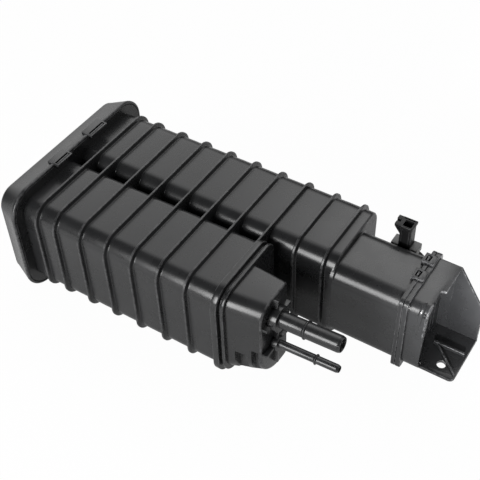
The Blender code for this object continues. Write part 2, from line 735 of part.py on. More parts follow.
def nose_section(tip):
    """Outline of the port nose: at its root, or at its tip, where its lower front corner is large."""
    if tip:
        low_corner, y0, y1 = NOSE_TIP_CORNER, FRONT.y0 + NOSE_DRAFT, FRONT.y0 + NOSE_WIDTH - NOSE_BACK_DRAFT
        z1 = wall_z1 - NOSE_TOP_DRAFT
    else:
        low_corner, y0, y1 = WALL_CORNER, FRONT.y0, FRONT.y0 + NOSE_WIDTH
        z1 = wall_z1
    corners = [low_corner, NOSE_BACK_CORNER, NOSE_BACK_CORNER, WALL_CORNER]
    return Section(y0, y1, wall_z0 + NOSE_LIFT, z1, corners)


def nose_cavity():
    """Cutter for the nose's inside: a tank and a purge room, clear of the pockets outside."""
    inset = WALL + GRID_SEAT + EDGE
    root, tip = nose_section(False).grow(-inset), nose_section(True).grow(-inset)
    cavity = prism("nose_cavity", [(port_panel - SINK, root), (port_panel, root), (nose_end - WALL, tip)])
    z = (TANK_Z - TANK_RADIUS + PURGE_Z + PURGE_RADIUS) / 2
    low, high = (port_panel - CUT, FRONT.y0, z - PARTITION / 2), (nose_end, REAR.y1, z + PARTITION / 2)
    keep = box("partition", low, high)
    pocket_y, pocket_z = FRONT.y0 + POCKET_DEPTH + WALL, max(top for _, top in POCKETS) + WALL
    guard = box("guard", (port_panel - CUT, 0, 0), (nose_end, pocket_y, pocket_z))
    return cut(cavity, keep, guard)


def nose_pockets():
    """Cutters for the two open pockets in the nose's lower front corner."""
    tools = []
    x = port_panel + WALL + POCKET_START
    for length, top in POCKETS:
        low, high = (x, -CUT, -CUT), (x + length, FRONT.y0 + POCKET_DEPTH, top)
        tools.append(box("pocket", low, high))
        x += length + POCKET_RIB
    return tools


def make_port_cover():
    """Moulds the cover of the front chamber: flange, hollow nose and the tank and purge hose stubs."""
    cover = prism("port_cover", [(port_start, FRONT), (port_start + PORT_NECK + EDGE, FRONT)])
    plate_start = port_start + PORT_NECK
    brim = FRONT.grow(PORT_FLANGE_MARGIN)
    brim.z0 = FRONT.z0 - PORT_FLANGE_LOW
    plate = prism("plate", flange(plate_start, plate_start + PORT_FLANGE, brim))
    tip = nose_section(True)
    nose = prism("nose", [
        (port_panel, nose_section(False)),
        (nose_end - NOSE_ROUND, tip),
        (nose_end - NOSE_ROUND * 0.3, tip.grow(-NOSE_ROUND * 0.3)),
        (nose_end, tip.grow(-NOSE_ROUND)),
    ])
    y0, y1 = tip.y0 + NOSE_ROUND, tip.y1 - NOSE_ROUND
    z0, z1 = tip.z0 + FACE_RIB_LIFT, tip.z1 - NOSE_ROUND
    x0, x1 = nose_end - WALL / 2, nose_end + FACE_RIB_HEIGHT
    half = FACE_RIB / 2
    ribs = [box("face_rib", (x0, PORT_Y - half, z0), (x1, PORT_Y + half, z1))]
    for z in (TANK_Z, PURGE_Z):
        ribs.append(box("face_rib", (x0, y0, z - half), (x1, y1, z + half)))
    tank, purge = (nose_end, PORT_Y, TANK_Z), (nose_end, PORT_Y, PURGE_Z)
    tank_collar, purge_collar = (TANK_COLLAR, TANK_COLLAR_LENGTH), (PURGE_COLLAR, PURGE_COLLAR_LENGTH)
    stubs = [
        hose_stub(tank, TANK_RADIUS, *tank_collar, TANK_BEAD, TANK_BEAD_RADIUS, TANK_REACH),
        hose_stub(purge, PURGE_RADIUS, *purge_collar, PURGE_BEAD, PURGE_BEAD_RADIUS, PURGE_REACH),
    ]
    unite(cover, plate, nose, *ribs, *stubs)
    shallow = FRONT.grow(-WALL - GRID_SEAT)
    return cut(
        cover,
        prism("plenum", [(port_start - CUT, shallow), (port_panel, shallow)]),
        nose_cavity(),
        *nose_pockets(),
        bore(tank, TANK_BORE, -CUT, TANK_REACH + 2 * CUT, PORT_AXIS, STUB_SIDES),
        bore(purge, PURGE_BORE, -CUT, PURGE_REACH + 2 * CUT, PORT_AXIS, STUB_SIDES),
    )


def gusset_outline():
    """Outline in x and z of the cap's back wall: its far edge slopes down and rounds to the foot's end."""
    x0, top = cap_start + CAP_FLANGE / 2, CAP.z1
    slope_start = cap_start + CAP_REACH + CAP_TAB
    slope = Vector((foot_end - slope_start, -GUSSET_DROP)).normalized()
    corner = Vector((foot_end, top - GUSSET_DROP))
    turn = math.acos(-slope.y)
    tangent = GUSSET_ROUND * math.tan(turn / 2)
    middle = Vector((foot_end - GUSSET_ROUND, corner.y - tangent))
    outline = [(x0, CAP.z0), (foot_end, CAP.z0)]
    for step in range(GUSSET_STEPS + 1):
        angle = turn * step / GUSSET_STEPS
        out = Vector((math.cos(angle), math.sin(angle)))
        outline.append(tuple(middle + GUSSET_ROUND * out))
    return outline + [(slope_start, top), (x0, top)]


def foot_stay(ridge_y):
    """Thin rib on the foot that runs aslant from the ridge past the hole to the foot's end."""
    along = Vector((math.cos(FOOT_STAY_ANGLE), -math.sin(FOOT_STAY_ANGLE)))
    across = Vector((-along.y, along.x))
    near = foot_hole + across * (FOOT_HOLE / 2 + FOOT_STAY_CLEAR)
    first = near + along * (ridge_y - near.y) / along.y
    last = near + along * (foot_end - FOOT_STAY - near.x) / along.x
    side = across * FOOT_STAY / 2
    outline = [first - side, last - side, last + side, first + side]
    levels = (CAP.z0 + SINK, CAP.z0 + FOOT_THICK + FOOT_STAY_HEIGHT)
    return loft("stay", [[(point.x, point.y, z) for point in outline] for z in levels])


def foot_plate():
    """Mounting foot with its rounded corner and its ridge."""
    y0, y1 = CAP.y0 + FOOT_FRONT, CAP.y1
    quarter = arc(foot_end - FOOT_CORNER, y0 + FOOT_CORNER, FOOT_CORNER, 270, CORNER_STEPS)
    outline = [(panel_start, y0)] + quarter + [(foot_end, y1), (panel_start, y1)]
    plate = loft("foot", [[(x, y, z) for x, y in outline] for z in (CAP.z0, CAP.z0 + FOOT_THICK)])
    ridge_y = y0 + FOOT_RIDGE_FROM_EDGE
    low = (cap_start + CAP_REACH - CAP_LEAN, ridge_y, CAP.z0 + SINK)
    high = (foot_end - FOOT_RIDGE, ridge_y + FOOT_RIDGE, CAP.z0 + FOOT_THICK + FOOT_RIDGE_HEIGHT)
    return unite(plate, box("ridge", low, high), foot_stay(ridge_y + FOOT_RIDGE / 2))


def panel_slots():
    """Cutter for the upright slots of the cap's inlet panel, as one mesh."""
    y0, y1 = CAP.y0 + WALL + CAP_SLOT_MARGIN, CAP.y1 - WALL - CAP_SLOT_MARGIN
    z0, z1 = CAP.z0 + WALL + CAP_SLOT_MARGIN, CAP.z1 - WALL - CAP_SLOT_MARGIN
    step = (y1 - y0 - CAP_SLOT) / (CAP_SLOTS - 1)
    slots = []
    for i in range(CAP_SLOTS):
        y = y0 + step * i
        slots.append(((panel_start - CUT, y, z0), (panel_start + CAP_PANEL + CUT, y + CAP_SLOT, z1)))
    return boxes("slots", slots)


def make_vent_cap():
    """Moulds the cap of the vent box: flange, open hood with a slotted panel, gusset and mounting foot."""
    end = cap_start + CAP_REACH
    cap = prism("vent_cap", [(cap_start, CAP), (end, CAP)])
    lean = [(end, CAP.z1), (end - CAP_LEAN, CAP.z0), (end - CAP_LEAN, -CUT), (end + CUT, -CUT)]
    lean += [(end + CUT, CAP.z1 + CUT), (end, CAP.z1 + CUT)]
    cut(cap, extrude_y("lean", lean, CAP.y0 - CUT, CAP.y1 + CUT))
    unite(cap, prism("ring", flange(cap_start, cap_start + CAP_FLANGE, VENT_RING)))
    inner = CAP.grow(-WALL)
    tab_front = CAP.y1 - CAP_TAB_WIDTH
    notch_low = (end - CAP_NOTCH, CAP.y0 + CAP_CORNER, CAP.z1 - WALL - SINK)
    notch = box("notch", notch_low, (end + CUT, tab_front, CAP.z1 + CUT))
    cut(cap, prism("hood", [(cap_start - CUT, inner), (end + CUT, inner)]), notch)
    held = inner.grow(WALL / 2)
    panel = prism("panel", [(panel_start, held), (panel_start + CAP_PANEL, held)])
    cut(panel, panel_slots())
    tab_end = end + CAP_TAB
    additions = [
        panel,
        extrude_y("gusset", gusset_outline(), CAP.y1 - WALL, CAP.y1),
        foot_plate(),
        box("tab", (end - CAP_NOTCH - WALL, tab_front, CAP.z1 - WALL), (tab_end, CAP.y1, CAP.z1)),
    ]
    root = cap_start + CAP_FLANGE
    low = VENT_RING.z1 + GAP
    slot = (cap_start - SNAP_REACH + SNAP_BAR, cap_start - GAP)
    for centre in SNAP_CENTRES:
        y = VENT.y0 + centre
        reach = cap_start - SNAP_REACH
        additions.append(snap_loop(y, SNAP_WIDTH, reach, root - EDGE, low, SNAP_THICK, SNAP_BAR, slot))
        block_low = (cap_start, y - SNAP_WIDTH / 2, VENT_RING.z1 - SINK)
        additions.append(box("block", block_low, (root - EDGE, y + SNAP_WIDTH / 2, low + SINK)))
    unite(cap, *additions)
    hole_at = (*foot_hole, CAP.z0)
    return cut(cap, bore(hole_at, FOOT_HOLE / 2, -CUT, 2 * CUT + FOOT_THICK, (0, 0, 1), HOLE_SIDES))


def open_plate(name, section, x0, thickness, bosses=()):
    """Makes a plate of a chamber's outline with a grid of windows, and round bosses that centre springs."""
    plate = prism(name, [(x0, section), (x0 + thickness, section)])
    boss = SPRING_RADIUS - SPRING_WIRE - GAP
    profile = [(-BOSS_LENGTH, 0), (-BOSS_LENGTH, boss), (EDGE, boss), (EDGE, 0)]
    if bosses:
        unite(plate, *[revolve("boss", profile, (x0, y, z), (1, 0, 0), HOLE_SIDES) for y, z in bosses])
    y0, y1 = section.y0 + GRID_FRAME, section.y1 - GRID_FRAME
    z0, z1 = section.z0 + GRID_FRAME, section.z1 - GRID_FRAME
    step_y = (y1 - y0 + GRID_BAR) / GRID_COLUMNS
    step_z = (z1 - z0 + GRID_BAR) / GRID_ROWS
    windows = []
    for column in range(GRID_COLUMNS):
        for row in range(GRID_ROWS):
            y, z = y0 + step_y * column, z0 + step_z * row
            high_y, high_z = y + step_y - GRID_BAR, z + step_z - GRID_BAR
            blocked = [
                y - boss < boss_y < high_y + boss and z - boss < boss_z < high_z + boss
                for boss_y, boss_z in bosses
            ]
            if not any(blocked):
                windows.append(((x0 - CUT, y, z), (x0 + thickness + CUT, high_y, high_z)))
    return cut(plate, boxes("windows", windows))


def spring_places(section):
    """Where a chamber's two springs stand, in y and z."""
    y, z = section.middle
    return {"upper": (y, z + SPRING_OFFSET), "lower": (y, z - SPRING_OFFSET)}


def make_chamber_filling(side, section, end, end_grid, end_pad):
    """Fills one chamber from its springs to the grid at its far end."""
    inner = section.grow(-WALL - GAP)
    places = spring_places(section)
    for level, (y, z) in places.items():
        spring = coil(
            f"{side}_spring_{level}", (spring_start, y, z), (1, 0, 0),
            plate_place - GAP - spring_start, SPRING_RADIUS, SPRING_WIRE, SPRING_TURNS,
        )
        finish(spring, steel, smooth=60)
    finish(open_plate(f"{side}_retainer_plate", inner, plate_place, PLATE, tuple(places.values())), pale)
    finish(prism(f"{side}_end_filter", [(filter_place, inner), (filter_place + PAD, inner)]), felt)
    grid_place = end - GRID
    pad_place = grid_place - GAP - PAD
    finish(prism(f"{side}_carbon_bed", [(BED_START, inner), (pad_place - GAP, inner)]), carbon)
    finish(prism(end_pad, [(pad_place, inner), (pad_place + PAD, inner)]), felt)
    finish(open_plate(end_grid, inner, grid_place, GRID), pale)


def make_vent_duct():
    """Moulds the plate over the opening to the rear chamber and the elbow to the valve's seat."""
    x0 = rear_end + GAP
    lap, plug = WINDOW.grow(DUCT_LAP), WINDOW.grow(-GAP)
    duct = prism("vent_duct", [(x0, lap), (x0 + DUCT_PLATE, lap)])
    spigot = prism("spigot", [(rear_end - WALL / 2, plug), (x0 + DUCT_PLATE / 2, plug)])
    half, end = SEAT_RADIUS + DUCT_WALL, valve_x + SEAT_RADIUS + DUCT_WALL
    face = seat_y - SEAT_HEIGHT
    floor = face - DUCT_DEPTH
    elbow = box("elbow", (x0, floor, VALVE_Z - half), (end, face, VALVE_Z + half))
    seat_axis, sunk = (0, 1, 0), DUCT_WALL / 2
    ring = bore((valve_x, face, VALVE_Z), SEAT_RADIUS, -sunk, sunk + SEAT_HEIGHT, seat_axis, RING_SIDES)
    unite(duct, spigot, elbow, ring)
    low = (x0 - CUT, floor + DUCT_WALL, VALVE_Z - half + DUCT_WALL)
    high = (end - DUCT_WALL, face - DUCT_WALL, VALVE_Z + half - DUCT_WALL)
    hole = bore((valve_x, face, VALVE_Z), SEAT_BORE, -DUCT_DEPTH / 2, DUCT_DEPTH, seat_axis, RING_SIDES)
    return cut(duct, box("passage", low, high), hole)


def turned(name, profile, segments=None):
    """Turns a profile about the valve's axis, which is the y axis of the valve's own frame."""
    return revolve(name, profile, (0, 0, 0), (0, 1, 0), segments or RING_SIDES)


def tube(start, end, inner, outer):
    """Profile of a plain ring."""
    return [(start, inner), (start, outer), (end, outer), (end, inner)]


def make_valve_housing():
    """Moulds the valve's cup with flange and neck, and the connector that stands on it."""
    groove = ring_middle - RING_GROOVE / 2, ring_middle + RING_GROOVE / 2
    housing = turned("valve_housing", [
        (-NECK_LENGTH, 0),
        (-NECK_LENGTH, NECK_RADIUS),
        (groove[0], NECK_RADIUS),
        (groove[0], ring_radius - RING_SECTION - GAP),
        (groove[1], ring_radius - RING_SECTION - GAP),
        (groove[1], NECK_RADIUS),
        (0, NECK_RADIUS),
        (0, VALVE_FLANGE),
        (VALVE_FLANGE_THICK, VALVE_FLANGE),
        (VALVE_FLANGE_THICK, VALVE_CUP),
        (VALVE_LENGTH - EDGE, VALVE_CUP),
        (VALVE_LENGTH, VALVE_CUP - EDGE),
        (VALVE_LENGTH, 0),
    ])
    top = PLUG_TOP - VALVE_Z
    half_x, half_y = PLUG_WIDTH / 2, PLUG_DEPTH / 2
    tower = box("tower", (-half_x, plug_y - half_y, VALVE_CUP_BORE / 2), (half_x, plug_y + half_y, top))
    rim_low = (-half_x - PLUG_RIM, plug_y - half_y + EDGE, top - PLUG_RIM_HEIGHT)
    rim = box("rim", rim_low, (half_x + EDGE, plug_y + half_y + PLUG_RIM, top))
    width, depth, height = SHOULDER
    shoulder_z = SHOULDER_Z - VALVE_Z
    shoulder_low = (-width / 2, plug_y - half_y, shoulder_z)
    shoulder = box("shoulder", shoulder_low, (width / 2, plug_y - half_y + depth, shoulder_z + height))
    out, wide, tall = LATCH
    latch_top, side, latch_y = top - EDGE, -half_x, plug_y - half_y + SINK
    outline = [
        (side + SINK, latch_top - tall), (side + SINK, latch_top), (side - out, latch_top),
        (side - out, latch_top - LATCH_TIP),
    ]
    latch = extrude_y("latch", outline, latch_y, latch_y + wide)
    unite(housing, tower, rim, shoulder, latch)
    neck_mouth = -NECK_LENGTH - CUT
    tools = [
        turned("neck_bore", tube(neck_mouth, 0, 0, NECK_BORE)),
        turned("stem_hole", tube(-CUT, CUT, 0, STEM_RADIUS + GAP), HOLE_SIDES),
        turned("cup", tube(VALVE_FLANGE_THICK, VALVE_LENGTH + CUT, 0, VALVE_CUP_BORE)),
        box("socket", (-half_x + PLUG_WALL, plug_y - half_y + PLUG_WALL, top - PLUG_SOCKET),
            (half_x - PLUG_WALL, plug_y + half_y - PLUG_WALL, top + CUT)),
    ]
    for x in (-PIN_SPACING / 2, PIN_SPACING / 2):
        wide, thick = PIN[0] / 2 + GAP, PIN[1] / 2 + GAP
        floor = top - PLUG_SOCKET
        low, high = (x - wide, plug_y - thick, floor - PIN_SINK), (x + wide, plug_y + thick, floor + CUT)
        tools.append(box("pin_hole", low, high))
    return cut(housing, *tools)


def make_valve():
    """Builds the vent valve about its axis, from its housing to its plunger, seal and terminals."""
    finish(make_valve_housing(), connector, valve_axis)
    cover_radius = VALVE_CUP_BORE - GAP
    finish(turned("valve_cover", tube(cover_place, VALVE_LENGTH, 0, cover_radius)), connector, valve_axis)
    bobbin_start, bobbin_end = VALVE_FLANGE_THICK + GAP, cover_place - GAP
    finish(turned("coil_bobbin", [
        (bobbin_start, BOBBIN_BORE),
        (bobbin_start, BOBBIN_FLANGE),
        (bobbin_start + BOBBIN_CHEEK, BOBBIN_FLANGE),
        (bobbin_start + BOBBIN_CHEEK, BOBBIN_CORE),
        (bobbin_end - BOBBIN_CHEEK, BOBBIN_CORE),
        (bobbin_end - BOBBIN_CHEEK, BOBBIN_FLANGE),
        (bobbin_end, BOBBIN_FLANGE),
        (bobbin_end, BOBBIN_BORE),
    ]), pale, valve_axis)
    inset = BOBBIN_CHEEK + GAP
    winding = tube(bobbin_start + inset, bobbin_end - inset, BOBBIN_CORE + GAP, WINDING_RADIUS)
    finish(turned("coil_winding", winding), copper, valve_axis)
    finish(turned("pole_piece", [
        (pole_start, STEM_RADIUS + GAP),
        (pole_start, POLE_RADIUS),
        (pole_end, POLE_RADIUS),
        (pole_end, POLE_POCKET),
        (pole_end - POLE_POCKET_DEPTH, POLE_POCKET),
        (pole_end - POLE_POCKET_DEPTH, STEM_RADIUS + GAP),
    ]), steel, valve_axis)
    finish(turned("plunger", [
        (seal_front - GAP - STEM_HEAD, 0),
        (seal_front - GAP - STEM_HEAD, HEAD_RADIUS),
        (seal_front - GAP, HEAD_RADIUS),
        (seal_front - GAP, STEM_RADIUS),
        (seal_back + GAP, STEM_RADIUS),
        (seal_back + GAP, HEAD_RADIUS),
        (seal_back + GAP + STEM_HEAD, HEAD_RADIUS),
        (seal_back + GAP + STEM_HEAD, STEM_RADIUS),
        (armature_start, STEM_RADIUS),
        (armature_start, ARMATURE_RADIUS),
        (armature_start + ARMATURE_LENGTH, ARMATURE_RADIUS),
        (armature_start + ARMATURE_LENGTH, 0),
    ]), steel, valve_axis)
    seal = turned("plunger_seal", tube(seal_front, seal_back, STEM_RADIUS + GAP, SEAL_RADIUS))
    finish(seal, rubber, valve_axis)
    spring_floor = pole_end - POLE_POCKET_DEPTH + GAP
    spring = coil(
        "plunger_spring", (0, spring_floor, 0), (0, 1, 0), armature_start - GAP - spring_floor,
        RETURN_RADIUS, RETURN_WIRE, RETURN_TURNS,
    )
    finish(spring, steel, valve_axis, smooth=60)
    circle = []
    for step in range(RING_STEPS):
        angle = 2 * math.pi * step / RING_STEPS
        along, out = RING_SECTION * math.sin(angle), RING_SECTION * math.cos(angle)
        circle.append((ring_middle + along, ring_radius + out))
    finish(turned("valve_o_ring", circle), rubber, valve_axis, smooth=60)
    floor = PLUG_TOP - VALVE_Z - PLUG_SOCKET - PIN_SINK + GAP
    wide, thick = PIN[0] / 2, PIN[1] / 2
    for side, x in (("left", -PIN_SPACING / 2), ("right", PIN_SPACING / 2)):
        low, high = (x - wide, plug_y - thick, floor), (x + wide, plug_y + thick, floor + PIN_LENGTH)
        finish(box(f"terminal_{side}", low, high), tin, valve_axis)


clear_scene()
axes = bpy.data.objects.new("canister_axes", None)
bpy.context.scene.collection.objects.link(axes)
axes.location = frame_place
valve_axis = bpy.data.objects.new("valve_axis", None)
bpy.context.scene.collection.objects.link(valve_axis)
valve_axis.parent = axes
valve_axis.location = (valve_x, valve_y, VALVE_Z)

black = plastic("charcoal_plastic", (0.035, 0.036, 0.038), 0.42)
connector = plastic("black_connector_plastic", (0.012, 0.012, 0.013), 0.38)
pale = plastic("natural_plastic", (0.55, 0.53, 0.47), 0.5)
felt = plastic("filter_felt", (0.42, 0.41, 0.38), 0.95)
carbon = plastic("activated_carbon", (0.012, 0.012, 0.012), 0.9)
rubber = plastic("black_rubber", (0.015, 0.015, 0.015), 0.7)
steel = plastic("spring_steel", (0.52, 0.52, 0.5), 0.35, metallic=1.0)
copper = plastic("copper_wire", (0.72, 0.35, 0.18), 0.4, metallic=1.0)
tin = plastic("tinned_brass", (0.7, 0.68, 0.6), 0.3, metallic=1.0)

finish(make_body(), black)
finish(make_end_cover(), black)
finish(make_port_cover(), black)
finish(make_vent_cap(), black)
make_chamber_filling("front", FRONT, front_end, "port_grid", "front_port_filter")
make_chamber_filling("rear", REAR, rear_end - WALL - GAP, "vent_grid", "rear_vent_filter")
finish(make_vent_duct(), pale)
dust = CAP.grow(-WALL - GAP)
finish(prism("dust_filter", [(cap_start + GAP, dust), (panel_start - GAP, dust)]), felt)
make_valve()
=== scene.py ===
"""Looks of the vapour canister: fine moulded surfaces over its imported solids, their finishes, light and camera."""
import math

import bmesh
import bpy
import numpy as np
from mathutils import Euler, Matrix, Vector


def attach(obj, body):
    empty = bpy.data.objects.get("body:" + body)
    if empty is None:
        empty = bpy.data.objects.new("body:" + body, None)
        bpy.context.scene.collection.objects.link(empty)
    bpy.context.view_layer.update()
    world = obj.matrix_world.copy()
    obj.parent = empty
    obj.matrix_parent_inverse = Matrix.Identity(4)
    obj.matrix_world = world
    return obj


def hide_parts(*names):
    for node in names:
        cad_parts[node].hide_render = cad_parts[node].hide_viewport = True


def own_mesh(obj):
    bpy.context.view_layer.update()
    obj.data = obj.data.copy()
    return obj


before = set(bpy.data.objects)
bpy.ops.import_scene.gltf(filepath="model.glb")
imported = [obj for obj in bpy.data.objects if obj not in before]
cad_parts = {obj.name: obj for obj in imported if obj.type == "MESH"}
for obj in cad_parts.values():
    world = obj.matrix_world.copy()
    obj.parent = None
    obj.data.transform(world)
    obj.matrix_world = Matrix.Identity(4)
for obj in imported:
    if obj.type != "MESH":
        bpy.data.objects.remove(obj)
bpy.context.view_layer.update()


# Canister body. One moulding of black glass-filled nylon: two rounded chambers side by side, ribs that run round
# both and fill the trough between them, a flange at each end, and the vent box behind the rear chamber.
# All of its sizes are in millimetres along the canister's own axes, from the end cover's edge.

PLACE = np.array([-194.25, -91.0, 7.0])    # where those axes start in the frame
CHAMBER_LOW, CHAMBER_HIGH = (4, 4), (178, 108)    # y and z of the walls round both chambers
TROUGH = (84, 92)                          # y of the two walls beside the trough
RIB_PLACES = np.array([18, 40, 70, 100, 130, 160, 190])
FLANGE_RIB = 220
REAR_RIBS = np.array([250, 280])
REAR_END = 292
RIB_TOP = 4                                # height of a rib over the wall
RIB_ROOT = 2.7                             # half of a rib's thickness at its root, fillets included
RIB_LAND = 0.8                             # half of its flat crest
FLANK_POWER = 1.4                          # above 1, a rib's flank is hollow at its root
BAY_SWELL = 0.15                           # how far a wall bows out in the middle of a bay
FLAT_RING = (0.3, 0.35)                    # from a rounded edge, and from a rib's root, to one more ring of points
CORNER = 16
TROUGH_CORNER = 8
WEB_Z = (54.5, 57.5)
WALL = 2.6


def rounded(low, high, radii, steps=12):
    """Outline in y and z of a rounded rectangle: at each corner, its centre plus its radius times the cosine and
    sine of a quarter turn. Corners: front-bottom, back-bottom, back-top, front-top."""
    (y0, z0), (y1, z1), (a, b, c, d) = low, high, radii
    centres = np.array([(y0 + a, z0 + a), (y1 - b, z0 + b), (y1 - c, z1 - c), (y0 + d, z1 - d)])
    turns = np.radians(np.array([180, 270, 0, 90])[:, None] + np.linspace(0, 90, steps + 1))
    out = np.stack([np.cos(turns), np.sin(turns)], axis=-1)
    return (centres[:, None] + out * np.array(radii, float)[:, None, None]).reshape(-1, 2)


def section(low, high, radii, least=0.4):
    """Gives a function of a distance, which returns the rounded rectangle offset outward by that distance."""
    low, high, radii = np.array(low, float), np.array(high, float), np.array(radii, float)

    def at(distance=0.0):
        """The outline, that distance further out."""
        return rounded(low - distance, high + distance, np.maximum(radii + distance, least))

    return at


front = section(CHAMBER_LOW, (TROUGH[0], CHAMBER_HIGH[1]), (CORNER, TROUGH_CORNER, TROUGH_CORNER, CORNER))
rear = section((TROUGH[1], CHAMBER_LOW[1]), CHAMBER_HIGH, (CORNER,) * 4)
vent = section((88, 13.3), (156.5, 101), (CORNER,) * 4)
vent_ring = section((85, 12.8), (159.5, 104), (6,) * 4)
front_brim = section((-1, -1), (87.5, 113), (21, 13, 13, 21))
window = section((102.25, 29.15), (142.25, 85.15), (3,) * 4)


def twin(offset, low_offset, filled, steps=12):
    """Outline round both chambers, offset outward from their walls. In the trough it runs down the front
    chamber's corner, over the web at half height and up the rear chamber's corner, or straight across if filled."""
    quarter = np.radians(np.linspace(0, 90, steps + 1))
    y0, z0 = CHAMBER_LOW[0] - offset, CHAMBER_LOW[1] - low_offset
    y1, z1 = CHAMBER_HIGH[0] + offset, CHAMBER_HIGH[1] + offset
    outer = rounded((y0, z0), (y1, z1), (CORNER + offset,) * 4, steps).reshape(4, -1, 2)
    left, right = TROUGH[0] - TROUGH_CORNER, TROUGH[1] + CORNER
    sides = []
    for level, web, inward in ((z0, WEB_Z[0], 1), (z1, WEB_Z[1], -1)):
        fall = inward * (1 - np.cos(quarter))
        down = np.stack([left + TROUGH_CORNER * np.sin(quarter), level + TROUGH_CORNER * fall], axis=-1)
        up = np.stack([right - CORNER * np.sin(quarter), level + CORNER * fall], axis=-1)
        trough = np.concatenate([down, [(TROUGH[0], web), (TROUGH[1], web)], up[::-1]])
        if filled:
            trough = np.stack([np.linspace(left, right, len(trough)), np.full(len(trough), level)], axis=-1)
        sides.append(trough)
    return np.concatenate([outer[0], sides[0], outer[1], outer[2], sides[1][::-1], outer[3]])


def along(xs, outlines):
    """Sets one outline of y and z at each x: the result holds (x, y, z) by station and by point."""
    outlines = np.asarray(outlines)
    xs = np.broadcast_to(np.asarray(xs, float)[:, None, None], outlines.shape[:2] + (1,))
    return np.concatenate([xs, outlines], axis=-1)


def skin(name, rings):
    """Joins each ring of points to the next with quads, and closes the first and last ring with one face each.
    Rings are in canister millimetres; the mesh gets metres in the frame, with points that meet merged and its
    faces outward."""
    count, around = rings.shape[:2]
    corner = np.arange(count * around).reshape(count, around)
    caps = [corner[0].tolist(), corner[-1].tolist()]
    ahead = np.roll(corner, -1, axis=1)
    quads = np.stack([corner[:-1], ahead[:-1], ahead[1:], corner[1:]], axis=-1).reshape(-1, 4)
    mesh = bpy.data.meshes.new(name)
    mesh.from_pydata(((rings.reshape(-1, 3) + PLACE) / 1000).tolist(), [], quads.tolist() + caps)
    shape = bmesh.new()
    shape.from_mesh(mesh)
    bmesh.ops.remove_doubles(shape, verts=shape.verts, dist=2e-6)
    bmesh.ops.recalc_face_normals(shape, faces=shape.faces)
    shape.to_mesh(mesh)
    shape.free()
    thing = bpy.data.objects.new(name, mesh)
    bpy.context.scene.collection.objects.link(thing)
    return thing


def slab(name, x0, x1, outline, edge=0.6, steps=3):
    """Plate across the canister: its outline, drawn in along a quarter circle of the edge's radius at both faces,
    with one more ring a little further in, which keeps the face flat."""
    turn = np.radians(np.linspace(0, 90, steps + 1))
    sunk = np.concatenate([[edge + FLAT_RING[0]], edge * (1 - np.sin(turn))])
    ahead = np.concatenate([[0], edge * (1 - np.cos(turn))])
    xs = np.concatenate([x0 + ahead, x1 - ahead[::-1]])
    return skin(name, along(xs, [outline(-d) for d in np.concatenate([sunk, sunk[::-1]])]))


def block(name, low, high, radius=0.5, steps=2):
    """Rounded block: a sphere's directions over two angles, times the radius, each moved to its own corner."""
    quarter = np.linspace(0, 90, steps + 1)
    around = np.radians((np.array([0, 90, 180, 270])[:, None] + quarter).ravel())
    rise = np.radians(np.concatenate([quarter - 90, quarter]))
    side = np.array([(1, 1), (-1, 1), (-1, -1), (1, -1)]).repeat(steps + 1, axis=0)
    end = np.repeat([-1, 1], steps + 1)
    low, high = np.array(low, float), np.array(high, float)
    middle, core = (low + high) / 2, (high - low) / 2 - radius
    x = core[0] * side[:, 0] + radius * np.cos(rise)[:, None] * np.cos(around)
    y = core[1] * side[:, 1] + radius * np.cos(rise)[:, None] * np.sin(around)
    z = core[2] * end[:, None] + radius * np.sin(rise)[:, None] + 0 * around
    return skin(name, middle + np.stack([x, y, z], axis=-1))


def combine(base, operation, tools):
    """Unites tools with a piece or cuts them from it, and removes them."""
    for tool in tools:
        step = base.modifiers.new(operation, "BOOLEAN")
        step.operation = operation
        step.solver = "EXACT"
        step.object = tool
    graph = bpy.context.evaluated_depsgraph_get()
    mesh = bpy.data.meshes.new_from_object(base.evaluated_get(graph))
    base.modifiers.clear()
    base.data = mesh
    for tool in tools:
        bpy.data.objects.remove(tool)
    return base


def ease(thing, width):
    """Rounds a piece's sharp edges in two steps of a bevel of that width."""
    if width:
        step = thing.modifiers.new("ease", "BEVEL")
        step.width = width / 1000
        step.segments = 2
        step.limit_method = "ANGLE"
    return combine(thing, "UNION", [])


def plate(name, outline, axis, low, high, edge):
    """Flat part: an outline in the two other coordinates, from low to high along an axis, its edges eased."""
    rings = np.stack([np.insert(np.array(outline, float), axis, level, axis=1) for level in (low, high)])
    return ease(skin(name, rings), edge)


def turned(name, profile, place, axis, sides=64):
    """Turns a profile of (distance along the axis, radius): a point is the place plus the distance along the axis
    plus the radius times the cosine and sine of the turn."""
    profile = np.array(profile, float)
    turn = np.linspace(0, 2 * np.pi, sides, endpoint=False)
    facing = np.array(Vector((0, 0, 1)).rotation_difference(Vector(axis)).to_matrix())
    ring = np.stack([np.cos(turn), np.sin(turn), 0 * turn], axis=-1)
    points = profile[:, 1, None, None] * ring + profile[:, 0, None, None] * np.array([0, 0, 1.0])
    return skin(name, points @ facing.T + np.array(place, float))


def rib_rise(x, places):
    """Height of the nearest rib from 0 on the wall to 1 on its crest: a smooth step across its flank, steeper near
    the crest and hollow at the root."""
    distance = np.abs(x[:, None] - places).min(axis=1)
    step = np.clip((RIB_ROOT - distance) / (RIB_ROOT - RIB_LAND), 0, 1) ** FLANK_POWER
    return step * step * (3 - 2 * step)


def bay_swell(x, places):
    """Outward bow of the wall between two ribs: a sine's square over each bay."""
    nearest = np.searchsorted(places, x).clip(1, len(places) - 1)
    share = (x - places[nearest - 1]) / (places[nearest] - places[nearest - 1])
    return BAY_SWELL * np.sin(np.pi * np.clip(share, 0, 1)) ** 2


